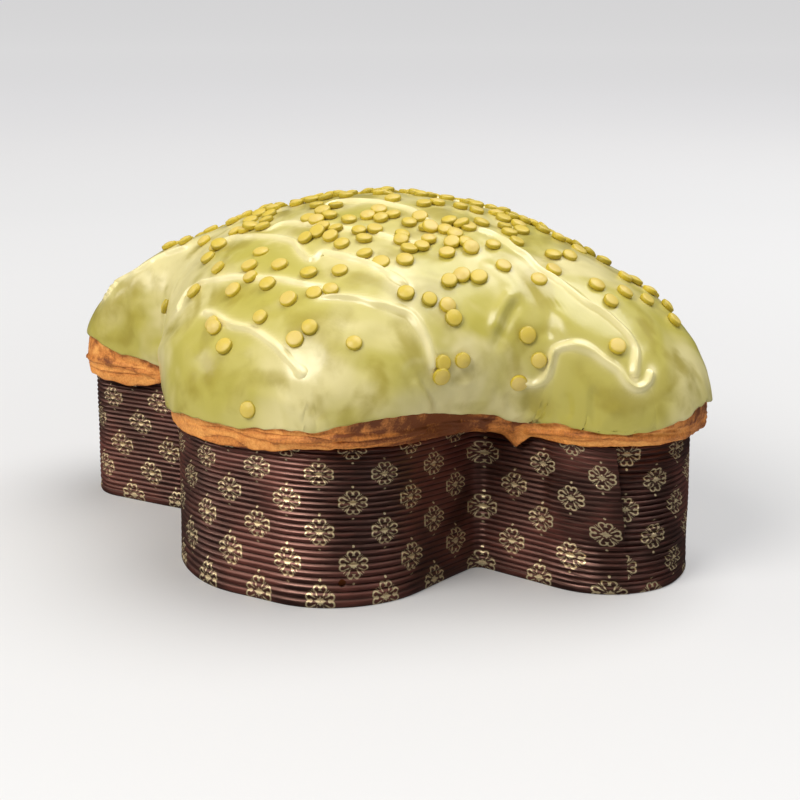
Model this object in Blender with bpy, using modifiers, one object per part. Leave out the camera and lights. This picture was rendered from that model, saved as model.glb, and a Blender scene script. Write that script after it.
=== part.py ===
"""Pistachio colomba: an iced, dove-shaped Easter bread standing in its corrugated paper case.

The bread's head points to -X, its tail to +X and its wings to -Y and +Y. It stands on Z = 0.
Sizes are in millimetres and become metres where a mesh is made.
"""
import math
import random

import bmesh
import bpy
import numpy as np
from mathutils import Euler, Matrix, Vector
from mathutils.bvhtree import BVHTree

MM = 0.001
PART_NAME = "pistachio_colomba"

# Clearance kept between two pieces that touch, and the distance at which vertices are welded
GAP = 0.4
WELD = 0.01

# Edges sharper than this many degrees keep a hard shade
SHARP_ANGLE = 40.0

# Steps between two points of a smooth route before it is cut into equal steps
ROUTE_STEPS = 12

# Plan of the paper case: half of the dove, from the tail's corner to the head's
HALF_LENGTH = 153.0
TAIL_HALF = 43.0
TAIL_ROUND = 37.0
TAIL_NOTCH = np.array((70.0, 33.0))
WING_SPAN = 112.0
WING_TAIL_X = 55.0
WING_TAIL_ROUND = 55.0
WING_HEAD_X = -43.0
WING_HEAD_ROUND = 62.0
HEAD_NOTCH = np.array((-78.0, 37.0))
HEAD_HALF = 39.0
HEAD_ROUND = 21.0
NOTCH_ROUNDS = (3.0, 3.0)
MIRROR = np.array((1.0, -1.0))
ARC_STEPS = 12

# Columns along the tail, the wing and the head of one half. All of them together divide by four,
# so that a round primitive has one vertex on each.
COLUMN_COUNTS = (11, 20, 11)
COLUMNS = 2 * sum(COLUMN_COUNTS)

# Paper case: the wings' dough pulls the wall a little taller
PAPER = 1.0
RIM_HEIGHT = 62.5
TAIL_RIM_RISE = 1.8
WING_RIM_RISE = 6.0
WING_RIM_POWER = 1.5
WALL_LEAN = 1.1

# Bread above the case: a rim of crust that hangs over the paper, and the dome.
# A column of the dome runs inwards with the cosine of its turn and upwards with the sine,
# each raised to a power. The valleys at the notches fill up with height. A pair of powers holds
# that of the head and that of the tail, and a pair of rounds those of the tail's notch and the
# head's.
LIP_OFFSET = 0.6
LIP_NOTCH_ROUNDS = (20.0, 10.0)
CRUST_OFFSET = 2.4
CRUST_NOTCH_ROUNDS = (34.0, 16.0)
DOME_SHIFT = 1.4
CRUST_BULGE = 9.0
CROWN_X = 1.5
CROWN_HEIGHT = 154.0
CROWN_REACH_TAIL = 152.5
CROWN_REACH_HEAD = 154.0
CROWN_REACH_WING = 117.0
INWARD_POWER = 1.18
UPWARD_POWERS_FOOT = (0.93, 1.0)
UPWARD_POWERS_TOP = (1.3, 0.96)
VALLEY_FILL = 0.95
VALLEY_POWERS = (1.1, 0.75)
LIP_TURNS = (-90.0, -45.0)
FLANK_TURNS = np.arange(-90.0, 60.0, 1.0)

# Slow swells that make the dome uneven: height, lengths along X and Y, and start of each
SWELLS = ((1.3, 21.0, 17.0, 0.3), (1.3, 21.0, -17.0, 1.1), (1.6, 13.0, 7.6, 0.0))

# Folds of the crust: ridges, each a route of places round one half of the rim, from 0 at the
# tail's tip to 1 at the head's, with heights above the paper's rim
FOLD_RADIUS = 2.1
FOLD_LIFT = -0.7
FOLD_STEP = 8.0
FOLD_ROUTES = (
    ((0.02, 3.4), (0.07, 4.8), (0.12, 5.8), (0.17, 5.2), (0.215, 3.2)),
    ((0.225, 8.2), (0.235, 5.6), (0.233, 3.2)),
    ((0.262, 9.0), (0.266, 6.0), (0.262, 3.2)),
    ((0.292, 9.0), (0.288, 6.2), (0.292, 3.4)),
    ((0.33, 7.6), (0.37, 5.6), (0.41, 3.6)),
    ((0.40, 7.4), (0.44, 4.8), (0.465, 3.2)),
    ((0.80, 5.0), (0.86, 8.0), (0.92, 7.4)),
)

# Icing: its lower edge above the paper's rim, from the tail's tip round to the head's
ICING_THICKNESS = 2.2
ICING_ROWS = 8
ICING_BANDS = (
    (0.00, 9.0), (0.16, 10.0), (0.27, 13.0), (0.38, 14.0), (0.48, 11.0),
    (0.62, 10.0), (0.72, 12.0), (0.80, 15.0), (0.90, 19.0), (1.00, 20.0),
)

# Waves of the icing's lower edge: height, turn from one column to the next in radians, and start
EDGE_WAVES = ((0.6, 1.9, 0.0), (0.6, 0.83, 1.0))

# Chocolate drops: flat discs, thick on the crown towards the tail and sparse on the flanks
DROP_SEED = 41
DROP_COUNT = 101
DROP_SIDES = 7
DROP_RADIUS = (3.3, 3.8)
DROP_TOP_SHARE = 0.8
DROP_THICKNESS = 2.8
DROP_SUNK = 0.8
DROP_TILT = 8.0
DROP_SPACING = 8.0
DROP_MIDDLE = (22.0, 0.0)
DROP_SPREAD = (52.0, 44.0)
DROP_REACH = 0.86

# Drizzle: raised strokes of pale icing, each a route over the dome seen from above
DRIZZLE_RADIUS = 1.7
DRIZZLE_LIFT = 1.1
DRIZZLE_STEP = 10.0
DRIZZLE_ROUTES = (
    ((-72, -30), (-17, -47), (8, -60), (27, -58), (57, -60), (67, -67), (74, -71)),
    ((-60, -60), (-29, -72), (-4, -76), (25, -82), (50, -75), (66, -70)),
    ((-33, -86), (-13, -95), (14, -103), (31, -107)),
    ((-60, 8), (-14, 6), (8, -4), (40, -20), (62, -30)),
    ((52, -2), (67, 0), (86, -12), (117, -22), (129, -23), (137, -19), (140, -31)),
    ((99, -47), (109, -42), (110, -38), (118, -36), (128, -35), (137, -31)),
    ((-118, 6), (-86, -14), (-50, -22), (-8, -28), (30, -34), (60, -42)),
    ((-96, 20), (-52, 34), (0, 30), (46, 40), (78, 26)),
    ((-40, 66), (0, 72), (32, 60), (60, 64)),
)


def half_corners(offset):
    """Corners of the +Y half of the plan, moved out by offset, with the other half's nearest corner
    before the first and after the last."""
    corners = [
        TAIL_NOTCH * MIRROR, (HALF_LENGTH, -TAIL_HALF), (HALF_LENGTH, TAIL_HALF), TAIL_NOTCH,
        (WING_TAIL_X, WING_SPAN), (WING_HEAD_X, WING_SPAN), HEAD_NOTCH, (-HALF_LENGTH, HEAD_HALF),
        (-HALF_LENGTH, -HEAD_HALF), HEAD_NOTCH * MIRROR,
    ]
    return [mitred(*corners[k:k + 3], offset) for k in range(len(corners) - 2)]


def mitred(before, corner, after, offset):
    """The corner of a counterclockwise outline after both its sides move out by offset."""
    before, corner, after = np.array(before), np.array(corner), np.array(after)
    side_in = (corner - before) / np.linalg.norm(corner - before)
    side_out = (after - corner) / np.linalg.norm(after - corner)
    normal_in = np.array([side_in[1], -side_in[0]])
    normal_out = np.array([side_out[1], -side_out[0]])
    middle = normal_in + normal_out
    return corner + middle * offset * 2.0 / (middle @ middle)


def rounded(before, corner, after, radius):
    """Points of the arc that rounds one corner."""
    back = (before - corner) / np.linalg.norm(before - corner)
    forth = (after - corner) / np.linalg.norm(after - corner)
    half_angle = 0.5 * math.acos(float(np.clip(back @ forth, -1.0, 1.0)))
    room = 0.5 * min(np.linalg.norm(before - corner), np.linalg.norm(after - corner))
    reach = min(radius / math.tan(half_angle), room)
    radius = reach * math.tan(half_angle)
    middle = (back + forth) / np.linalg.norm(back + forth)
    centre = corner + middle * radius / math.sin(half_angle)
    start = corner + back * reach - centre
    end = corner + forth * reach - centre
    first = math.atan2(start[1], start[0])
    sweep = (math.atan2(end[1], end[0]) - first + math.pi) % (2 * math.pi) - math.pi
    angles = first + sweep * np.linspace(0.0, 1.0, ARC_STEPS + 1)
    return centre + radius * np.column_stack([np.cos(angles), np.sin(angles)])


def resampled(line, count):
    """The same line with count equal steps."""
    lengths = np.linalg.norm(np.diff(line, axis=0), axis=1)
    along = np.concatenate([[0.0], np.cumsum(lengths)])
    places = np.linspace(0.0, along[-1], count + 1)
    return np.column_stack([np.interp(places, along, line[:, k]) for k in (0, 1)])


def plan_ring(offset, notch_rounds):
    """The dove's outline as a counterclockwise ring with the same columns at every offset.
    The rounds are those of the notches by the tail and by the head."""
    corners = half_corners(offset)
    radii = [TAIL_ROUND + offset, notch_rounds[0], WING_TAIL_ROUND + offset,
             WING_HEAD_ROUND + offset, notch_rounds[1], HEAD_ROUND + offset]
    arcs = [rounded(*corners[k:k + 3], radius) for k, radius in enumerate(radii)]
    halfway = ARC_STEPS // 2
    tail_tip, head_tip = (HALF_LENGTH + offset, 0.0), (-HALF_LENGTH - offset, 0.0)
    tail = np.vstack([tail_tip, arcs[0], arcs[1][:halfway + 1]])
    wing = np.vstack([arcs[1][halfway:], arcs[2], arcs[3], arcs[4][:halfway + 1]])
    head = np.vstack([arcs[4][halfway:], arcs[5], head_tip])
    half = [resampled(line, count) for line, count in zip((tail, wing, head), COLUMN_COUNTS)]
    side = np.vstack([half[0], half[1][1:], half[2][1:]])
    return np.vstack([side, side[-2:0:-1] * MIRROR])


def inset(ring, distance):
    """A ring moved inwards by distance, side by side."""
    before, after = np.roll(ring, 1, axis=0), np.roll(ring, -1, axis=0)
    return np.array([mitred(b, c, a, -distance) for b, c, a in zip(before, ring, after)])


PLAN = plan_ring(0.0, NOTCH_ROUNDS)


def rim_heights():
    """Height of the paper's rim at each column."""
    wing = np.abs(PLAN[:, 1]) / WING_SPAN
    tail = PLAN[:, 0] / HALF_LENGTH
    return RIM_HEIGHT + TAIL_RIM_RISE * tail + WING_RIM_RISE * wing ** WING_RIM_POWER


def half_places():
    """How far round its half each column stands: 0 at the tail's tip and 1 at the head's."""
    half = COLUMNS // 2
    index = np.arange(COLUMNS)
    return np.minimum(index, COLUMNS - index) / half


def smooth_steps(places, table):
    """Values of a table read smoothly at each place."""
    at = np.array([row[0] for row in table])
    values = np.array([row[1] for row in table])
    k = np.clip(np.searchsorted(at, places, side="right") - 1, 0, len(at) - 2)
    part = np.clip((places - at[k]) / (at[k + 1] - at[k]), 0.0, 1.0)
    part = part * part * (3.0 - 2.0 * part)
    return values[k] + part * (values[k + 1] - values[k])


RIM = rim_heights()
WALL_TOP = inset(PLAN, WALL_LEAN)
LIP = plan_ring(LIP_OFFSET, LIP_NOTCH_ROUNDS)
WIDEST = plan_ring(CRUST_OFFSET, CRUST_NOTCH_ROUNDS) + (DOME_SHIFT, 0.0)
WIDEST_Z = RIM + CRUST_BULGE


def about_crown(ring):
    """Angle and distance of a ring's points about the crown."""
    from_crown = ring - (CROWN_X, 0.0)
    return np.arctan2(from_crown[:, 1], from_crown[:, 0]), np.hypot(*from_crown.T)


def crown_reach(angle):
    """Radius about the crown of the smooth oval that the dome's level lines grow into."""
    along = np.where(np.cos(angle) > 0.0, CROWN_REACH_TAIL, CROWN_REACH_HEAD)
    return 1.0 / np.hypot(np.cos(angle) / along, np.sin(angle) / CROWN_REACH_WING)


def between_ends(angle, pair):
    """A value that is the pair's first towards the head and its second towards the tail."""
    return pair[0] + (pair[1] - pair[0]) * (0.5 + 0.5 * np.cos(angle))


def upward_power(angle, up):
    """Power of the dome's rise: fuller at the foot of the head, and slower towards its top."""
    foot = between_ends(angle, UPWARD_POWERS_FOOT)
    return foot + (between_ends(angle, UPWARD_POWERS_TOP) - foot) * up


def bread_ring(turn):
    """Points of the bread's skin on every column, turn degrees up from its widest level."""
    turn = np.radians(np.broadcast_to(turn, COLUMNS))
    angle, radius = about_crown(WIDEST)
    up = np.clip(np.sin(turn), 0.0, 1.0)
    inward = np.clip(np.cos(turn), 0.0, 1.0) ** INWARD_POWER
    fill = VALLEY_FILL * up ** between_ends(angle, VALLEY_POWERS)
    reach = (radius + fill * (crown_reach(angle) - radius)) * inward
    dome = np.column_stack([CROWN_X + reach * np.cos(angle), reach * np.sin(angle)])
    curl = (1.0 - np.cos(turn))[:, None]
    lip = WIDEST * (1.0 - curl) + LIP * curl
    flat = np.where((turn < 0.0)[:, None], lip, dome)
    above = (CROWN_HEIGHT - WIDEST_Z) * up ** upward_power(angle, up) + swells(*flat.T) * up * inward
    below = (CRUST_BULGE - GAP) * np.clip(np.sin(turn), -1.0, 0.0)
    return np.column_stack([flat, WIDEST_Z + above + below])


def swells(x, y):
    """Height that the slow swells add to the dome at each place of the plan."""
    return sum(height * np.sin(x / along + y / across + start) for height, along, across, start in SWELLS)


def turn_at_height(height):
    """The turn at which each column of the bread's rim and lower flank reaches a height."""
    heights = np.array([bread_ring(turn)[:, 2] for turn in FLANK_TURNS])
    wanted = np.broadcast_to(height, COLUMNS)
    return np.array([np.interp(z, column, FLANK_TURNS) for z, column in zip(wanted, heights.T)])


def icing_edge_turns():
    """The turn of the icing's lower edge on each column."""
    columns = np.arange(COLUMNS)
    waves = sum(height * np.sin(columns * turn + start) for height, turn, start in EDGE_WAVES)
    return turn_at_height(RIM + smooth_steps(half_places(), ICING_BANDS) + waves)


def icing_rings():
    """Rings of the skin under the icing, from its lower edge to just below the crown."""
    edge = icing_edge_turns()
    rings = []
    for row in range(ICING_ROWS):
        part = row / ICING_ROWS
        rings.append(bread_ring(edge + (90.0 - edge) * part))
    return rings


def material(name, colour, roughness):
    """A plain finish."""
    finish = bpy.data.materials.new(name)
    finish.use_nodes = True
    shader = finish.node_tree.nodes["Principled BSDF"]
    shader.inputs["Base Color"].default_value = (*colour, 1.0)
    shader.inputs["Roughness"].default_value = roughness
    finish.diffuse_color = (*colour, 1.0)
    return finish


def add_object(name, mesh_builder, collection, finish):
    """A new object in a collection, from a bmesh in millimetres."""
    mesh = bpy.data.meshes.new(name)
    bmesh.ops.scale(mesh_builder, vec=(MM, MM, MM), verts=mesh_builder.verts)
    mesh_builder.to_mesh(mesh)
    mesh_builder.free()
    mesh.materials.append(finish)
    mesh.shade_smooth()
    mesh.set_sharp_from_angle(angle=math.radians(SHARP_ANGLE))
    item = bpy.data.objects.new(name, mesh)
    collection.objects.link(item)
    return item


def shape_sphere(rings, top, bottom):
    """A sphere whose parallels take the given rings, from the lowest to the highest."""
    builder = bmesh.new()
    bands = len(rings) + 1
    bmesh.ops.create_uvsphere(builder, u_segments=COLUMNS, v_segments=bands, radius=1.0)
    rows = builder.verts.layers.int.new("row")
    for vert in builder.verts:
        row = round(bands * (math.asin(max(-1.0, min(1.0, vert.co.z))) / math.pi + 0.5))
        vert[rows] = row
        if row == bands:
            vert.co = top
        elif row == 0:
            vert.co = bottom
        else:
            vert.co = rings[row - 1][column_of(vert)]
    bmesh.ops.triangulate(builder, faces=builder.faces)
    return builder


def column_of(vert):
    """The column that a vertex of a round primitive stands on."""
    return round(math.atan2(vert.co.y, vert.co.x) / (2 * math.pi) * COLUMNS) % COLUMNS


def draw_on(builder, edges, ring, height):
    """Draws a loop of edges on to a further ring, and returns the new loop."""
    columns = builder.verts.layers.int["column"]
    heights = np.broadcast_to(height, COLUMNS)
    drawn = bmesh.ops.extrude_edge_only(builder, edges=edges)["geom"]
    for vert in (item for item in drawn if isinstance(item, bmesh.types.BMVert)):
        column = vert[columns]
        vert.co = (*ring[column], heights[column])
    return [item for item in drawn if isinstance(item, bmesh.types.BMEdge) and item.is_boundary]


def build_case(collection, finish):
    """Paper case: a floor with the dove's plan, drawn up outside, over the rim and down inside."""
    builder = bmesh.new()
    bmesh.ops.create_circle(builder, segments=COLUMNS, radius=1.0)
    columns = builder.verts.layers.int.new("column")
    for vert in builder.verts:
        vert[columns] = column_of(vert)
        vert.co = (*PLAN[vert[columns]], 0.0)
    foot = list(builder.edges)
    top = draw_on(builder, foot, WALL_TOP, RIM)
    inner_top = draw_on(builder, top, inset(WALL_TOP, PAPER), RIM)
    inner_foot = draw_on(builder, inner_top, inset(PLAN, PAPER), PAPER)
    for loop in (foot, inner_foot):
        bmesh.ops.contextual_create(builder, geom=loop)
    bmesh.ops.recalc_face_normals(builder, faces=builder.faces)
    return add_object("paper_case", builder, collection, finish)


def build_bread(collection, finish):
    """Bread: it fills the case, curls out over the rim as crust and rises as the dome."""
    floor = np.column_stack([inset(PLAN, PAPER + GAP), np.full(COLUMNS, PAPER + GAP)])
    neck = np.column_stack([inset(WALL_TOP, PAPER + GAP), RIM + GAP])
    crust = [bread_ring(turn) for turn in LIP_TURNS]
    rings = [floor, neck] + crust + icing_rings()
    builder = shape_sphere(rings, (CROWN_X, 0.0, CROWN_HEIGHT), (0.0, 0.0, PAPER + GAP))
    bread = add_object("bread", builder, collection, finish)
    return bread, len(rings) - ICING_ROWS + 1


def build_icing(bread, edge_row, collection, finish):
    """Icing: the bread's skin above a row, lifted by the gap and given its thickness."""
    builder = bmesh.new()
    builder.from_mesh(bread.data)
    bmesh.ops.scale(builder, vec=(1.0 / MM, 1.0 / MM, 1.0 / MM), verts=builder.verts)
    rows = builder.verts.layers.int["row"]
    bare = [vert for vert in builder.verts if vert[rows] < edge_row]
    bmesh.ops.delete(builder, geom=bare, context="VERTS")
    builder.normal_update()
    for vert, normal in [(vert, vert.normal.copy()) for vert in builder.verts]:
        vert.co += normal * GAP
    icing = add_object("icing", builder, collection, finish)
    skin = icing.modifiers.new("coat", "SOLIDIFY")
    skin.thickness = ICING_THICKNESS * MM
    skin.offset = 1.0
    return icing


def evaluated_mesh(item):
    """A copy of an object's mesh with its modifiers in it."""
    graph = bpy.context.evaluated_depsgraph_get()
    return bpy.data.meshes.new_from_object(item.evaluated_get(graph))


def surface_under(tree, x, y):
    """The point and normal where a plumb line meets the icing, in metres."""
    start = Vector((x * MM, y * MM, 2.0 * CROWN_HEIGHT * MM))
    place, normal, _, _ = tree.ray_cast(start, Vector((0.0, 0.0, -1.0)))
    return place, normal


def drop_places():
    """Where the chocolate drops lie: random, thick along the crown, never on top of each other."""
    draw = random.Random(DROP_SEED)
    places = []
    while len(places) < DROP_COUNT:
        x, y = (draw.gauss(middle, spread) for middle, spread in zip(DROP_MIDDLE, DROP_SPREAD))
        size = draw.uniform(*DROP_RADIUS)
        lean = (draw.uniform(-DROP_TILT, DROP_TILT), draw.uniform(-DROP_TILT, DROP_TILT))
        apart = all(math.hypot(x - px, y - py) > DROP_SPACING for px, py, _, _ in places)
        if apart and on_dome(x, y):
            places.append((x, y, size, lean))
    return places


def on_dome(x, y):
    """Whether a place in the plan lies well inside the dome."""
    angles, radii = about_crown(WIDEST)
    order = np.argsort(angles)
    edge = np.interp(math.atan2(y, x - CROWN_X), angles[order], radii[order], period=2 * math.pi)
    return math.hypot(x - CROWN_X, y) < DROP_REACH * edge


def add_drops(tree, collection, finish):
    """Chocolate drops, half sunk in the icing."""
    for number, (x, y, size, lean) in enumerate(drop_places()):
        place, normal = surface_under(tree, x, y)
        builder = bmesh.new()
        bmesh.ops.create_cone(builder, cap_ends=True, segments=DROP_SIDES, radius1=size,
                              radius2=DROP_TOP_SHARE * size, depth=DROP_THICKNESS)
        drop = add_object(f"drop_{number}", builder, collection, finish)
        facing = normal.to_track_quat("Z", "Y").to_matrix().to_4x4()
        tilt = Euler((math.radians(lean[0]), math.radians(lean[1]), 0.0)).to_matrix().to_4x4()
        rise = Matrix.Translation((0.0, 0.0, (0.5 * DROP_THICKNESS - DROP_SUNK) * MM))
        drop.matrix_world = Matrix.Translation(place) @ facing @ tilt @ rise


def smooth_route(points, step):
    """Points about a step apart along a smooth curve through a route's own points."""
    points = np.array(points)
    padded = np.vstack([2 * points[0] - points[1], points, 2 * points[-1] - points[-2]])
    line = []
    for k in range(len(points) - 1):
        p0, p1, p2, p3 = padded[k:k + 4]
        for part in np.linspace(0.0, 1.0, ROUTE_STEPS, endpoint=False):
            line.append(0.5 * (2 * p1 + (p2 - p0) * part + (2 * p0 - 5 * p1 + 4 * p2 - p3) * part ** 2
                               + (3 * p1 - p0 - 3 * p2 + p3) * part ** 3))
    line = np.vstack([line, points[-1]])
    length = np.linalg.norm(np.diff(line, axis=0), axis=1).sum()
    return resampled(line, max(3, round(length / step)))


def add_tube(name, points, radius, collection, finish):
    """A closed tube along points given in metres."""
    curve = bpy.data.curves.new(name, "CURVE")
    curve.dimensions = "3D"
    curve.bevel_depth = radius * MM
    curve.bevel_resolution = 1
    curve.use_fill_caps = True
    spline = curve.splines.new("POLY")
    spline.points.add(len(points) - 1)
    for point, place in zip(spline.points, points):
        point.co = (*place, 1.0)
    path = bpy.data.objects.new(name, curve)
    collection.objects.link(path)
    mesh = evaluated_mesh(path)
    bpy.data.objects.remove(path)
    builder = bmesh.new()
    builder.from_mesh(mesh)
    bmesh.ops.remove_doubles(builder, verts=builder.verts, dist=WELD * MM)
    bmesh.ops.recalc_face_normals(builder, faces=builder.faces)
    builder.to_mesh(mesh)
    builder.free()
    mesh.materials.clear()
    mesh.materials.append(finish)
    tube = bpy.data.objects.new(name, mesh)
    collection.objects.link(tube)
    return tube


def add_drizzle(tree, collection, finish):
    """Strokes of drizzle: tubes that lie along the dome, partly sunk."""
    for number, route in enumerate(DRIZZLE_ROUTES):
        points = []
        for x, y in smooth_route(route, DRIZZLE_STEP):
            place, normal = surface_under(tree, x, y)
            points.append(place + normal * DRIZZLE_LIFT * MM)
        add_tube(f"stroke_{number}", points, DRIZZLE_RADIUS, collection, finish)


def crust_point(place, height, side):
    """A point on the crust and the way out of it; side is 1 on the +Y half and -1 on the other."""
    ring = bread_ring(turn_at_height(RIM + height))
    index = (side * place * COLUMNS / 2) % COLUMNS
    below = math.floor(index)
    here, there = ring[below % COLUMNS], ring[(below + 1) % COLUMNS]
    along = there - here
    outward = np.array([along[1], -along[0], 0.0]) / math.hypot(along[0], along[1])
    return here + (index - below) * along, outward


def add_folds(collection, finish):
    """Folds of the crust on both halves of the rim."""
    half_round = 0.5 * np.linalg.norm(np.roll(WIDEST, -1, axis=0) - WIDEST, axis=1).sum()
    for side in (-1, 1):
        for number, route in enumerate(FOLD_ROUTES):
            spans = [(place * half_round, height) for place, height in route]
            points = []
            for span, height in smooth_route(spans, FOLD_STEP):
                place, outward = crust_point(span / half_round, height, side)
                points.append((place + outward * FOLD_LIFT) * MM)
            add_tube(f"fold_{side}_{number}", points, FOLD_RADIUS, collection, finish)


def fuse(item, pieces):
    """Joins a collection's pieces to an object as one body, and removes their own objects."""
    joined = item.modifiers.new("pieces", "BOOLEAN")
    joined.operation = "UNION"
    joined.operand_type = "COLLECTION"
    joined.collection = pieces
    joined.solver = "EXACT"
    mesh = evaluated_mesh(item)
    item.modifiers.clear()
    item.data = mesh
    for piece in list(pieces.objects):
        bpy.data.objects.remove(piece)
    bpy.data.collections.remove(pieces)


def centre_over_origin(items):
    """Moves the meshes so that the box round them all stands centred on the origin."""
    points = np.array([vert.co for item in items for vert in item.data.vertices])
    middle = 0.5 * (points.min(axis=0) + points.max(axis=0))
    for item in items:
        item.data.transform(Matrix.Translation((-middle[0], -middle[1], 0.0)))


def new_collection(name):
    """A collection in the scene."""
    collection = bpy.data.collections.new(name)
    bpy.context.scene.collection.children.link(collection)
    return collection


def main():
    """Builds the colomba in a collection of its own."""
    for item in list(bpy.data.objects):
        bpy.data.objects.remove(item)
    part = new_collection(PART_NAME)

    paper = material("paper", (0.045, 0.018, 0.015), 0.45)
    crust = material("crust", (0.55, 0.22, 0.06), 0.8)
    glaze = material("pistachio_icing", (0.52, 0.54, 0.2), 0.25)
    build_case(part, paper)
    bread, edge_row = build_bread(part, crust)
    icing = build_icing(bread, edge_row, part, glaze)

    folds = new_collection("folds")
    add_folds(folds, crust)
    fuse(bread, folds)

    coat = evaluated_mesh(icing)
    tree = BVHTree.FromPolygons([v.co for v in coat.vertices], [p.vertices for p in coat.polygons])
    toppings = new_collection("toppings")
    add_drizzle(tree, toppings, glaze)
    add_drops(tree, toppings, glaze)
    fuse(icing, toppings)
    centre_over_origin(part.objects)


main()
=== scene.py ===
"""Looks of the pistachio colomba: paper case, crust, icing, drizzle and chocolate drops.

Lengths are in millimetres in the loaf's own plan, head to -X, tail to +X and wings to -Y and +Y,
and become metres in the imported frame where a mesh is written.
"""
from __future__ import annotations

import logging
import math
import random
from dataclasses import dataclass, field
from enum import Enum
from typing import Callable, Sequence

import bmesh
import bpy
import numpy as np
from bpy.types import Material, Object
from mathutils import Euler, Matrix, Vector
from mathutils.bvhtree import BVHTree
from mathutils.kdtree import KDTree


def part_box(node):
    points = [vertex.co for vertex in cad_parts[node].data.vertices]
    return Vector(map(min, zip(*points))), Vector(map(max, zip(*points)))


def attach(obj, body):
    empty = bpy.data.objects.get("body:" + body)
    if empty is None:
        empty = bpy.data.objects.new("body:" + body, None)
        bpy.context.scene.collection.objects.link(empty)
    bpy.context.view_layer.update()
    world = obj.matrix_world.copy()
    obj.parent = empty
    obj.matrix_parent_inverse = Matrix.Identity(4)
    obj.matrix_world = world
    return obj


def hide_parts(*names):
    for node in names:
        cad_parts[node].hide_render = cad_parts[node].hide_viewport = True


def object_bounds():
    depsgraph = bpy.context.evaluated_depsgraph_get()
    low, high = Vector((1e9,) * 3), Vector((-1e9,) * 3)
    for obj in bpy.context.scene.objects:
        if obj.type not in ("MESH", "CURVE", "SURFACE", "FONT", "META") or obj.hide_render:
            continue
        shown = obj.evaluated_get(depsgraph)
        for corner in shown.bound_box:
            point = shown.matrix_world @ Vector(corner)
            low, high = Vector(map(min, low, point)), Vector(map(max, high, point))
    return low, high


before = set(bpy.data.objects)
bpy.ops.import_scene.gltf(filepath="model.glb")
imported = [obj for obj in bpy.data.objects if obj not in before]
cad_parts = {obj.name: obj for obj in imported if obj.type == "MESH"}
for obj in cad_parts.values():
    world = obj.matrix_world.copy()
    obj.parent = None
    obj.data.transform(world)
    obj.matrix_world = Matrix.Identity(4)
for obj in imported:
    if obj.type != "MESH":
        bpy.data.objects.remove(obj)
CAD_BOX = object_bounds()

Array = np.ndarray
Pair = tuple[float, float]
Triple = tuple[float, float, float]
Colour = Triple

MM = 0.001
BODY = "root"
CASE_FINENESS = 6
ABOVE_ALL = 300.0
log = logging.getLogger("colomba")


def climb(values: Array, start: Array | float, length: Array | float) -> Array:
    """A straight climb from 0 at a start to 1 after a length."""
    return np.clip((values - start) / length, 0.0, 1.0)


def fading(values: Array, length: float) -> Array:
    """A straight fade from 1 at zero to 0 after a length."""
    return np.clip(1.0 - values / length, 0.0, 1.0)


def smooth_step(places: Array, start: Array | float, end: Array | float) -> Array:
    """A smooth step from 0 at a start to 1 at an end."""
    part = climb(places, start, end - start)
    return part * part * (3.0 - 2.0 * part)


def smooth_table(places: Array, table: Sequence[Pair]) -> Array:
    """Reads a table of values with a smooth step from each row to the next.

    Args:
        places: where the table is read.
        table: pairs of a place and the value there, in rising order.

    Returns:
        The value at each place.
    """
    at, values = np.array(table).T
    k = np.clip(np.searchsorted(at, places, side="right") - 1, 0, len(at) - 2)
    return values[k] + smooth_step(places, at[k], at[k + 1]) * (values[k + 1] - values[k])


def hump(distance: Array, width: float) -> Array:
    """A smooth hump that is 1 at no distance and fades over a width."""
    return np.exp(-(distance / width) ** 2)


def humps(places: Array, rows: Sequence[Triple], base: float = 0.0) -> Array:
    """Humps on a base, each given by its middle, width and height."""
    return sum((height * hump(places - middle, width) for middle, width, height in rows), base)


@dataclass
class Ripple:
    """Smooth unevenness: many plane waves of random direction, all from one seed."""

    seed: int
    longest: float
    shortest: float
    waves: int = 28
    peak_share = 1.5

    def __post_init__(self) -> None:
        """Draws the waves."""
        draw = np.random.default_rng(self.seed)
        directions = draw.normal(size=(self.waves, 3))
        directions /= np.linalg.norm(directions, axis=1)[:, None]
        lengths = np.exp(draw.uniform(math.log(self.shortest), math.log(self.longest), self.waves))
        self.turns = directions * (2.0 * math.pi / lengths)[:, None]
        self.starts = draw.uniform(0.0, 2.0 * math.pi, self.waves)

    def at(self, points: Array) -> Array:
        """Values of about -1 to 1 at points, whose last axis holds x, y and z."""
        phase = np.tensordot(points, self.turns.T, axes=1) + self.starts
        return np.sin(phase).sum(axis=-1) / math.sqrt(self.peak_share * self.waves)


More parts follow.
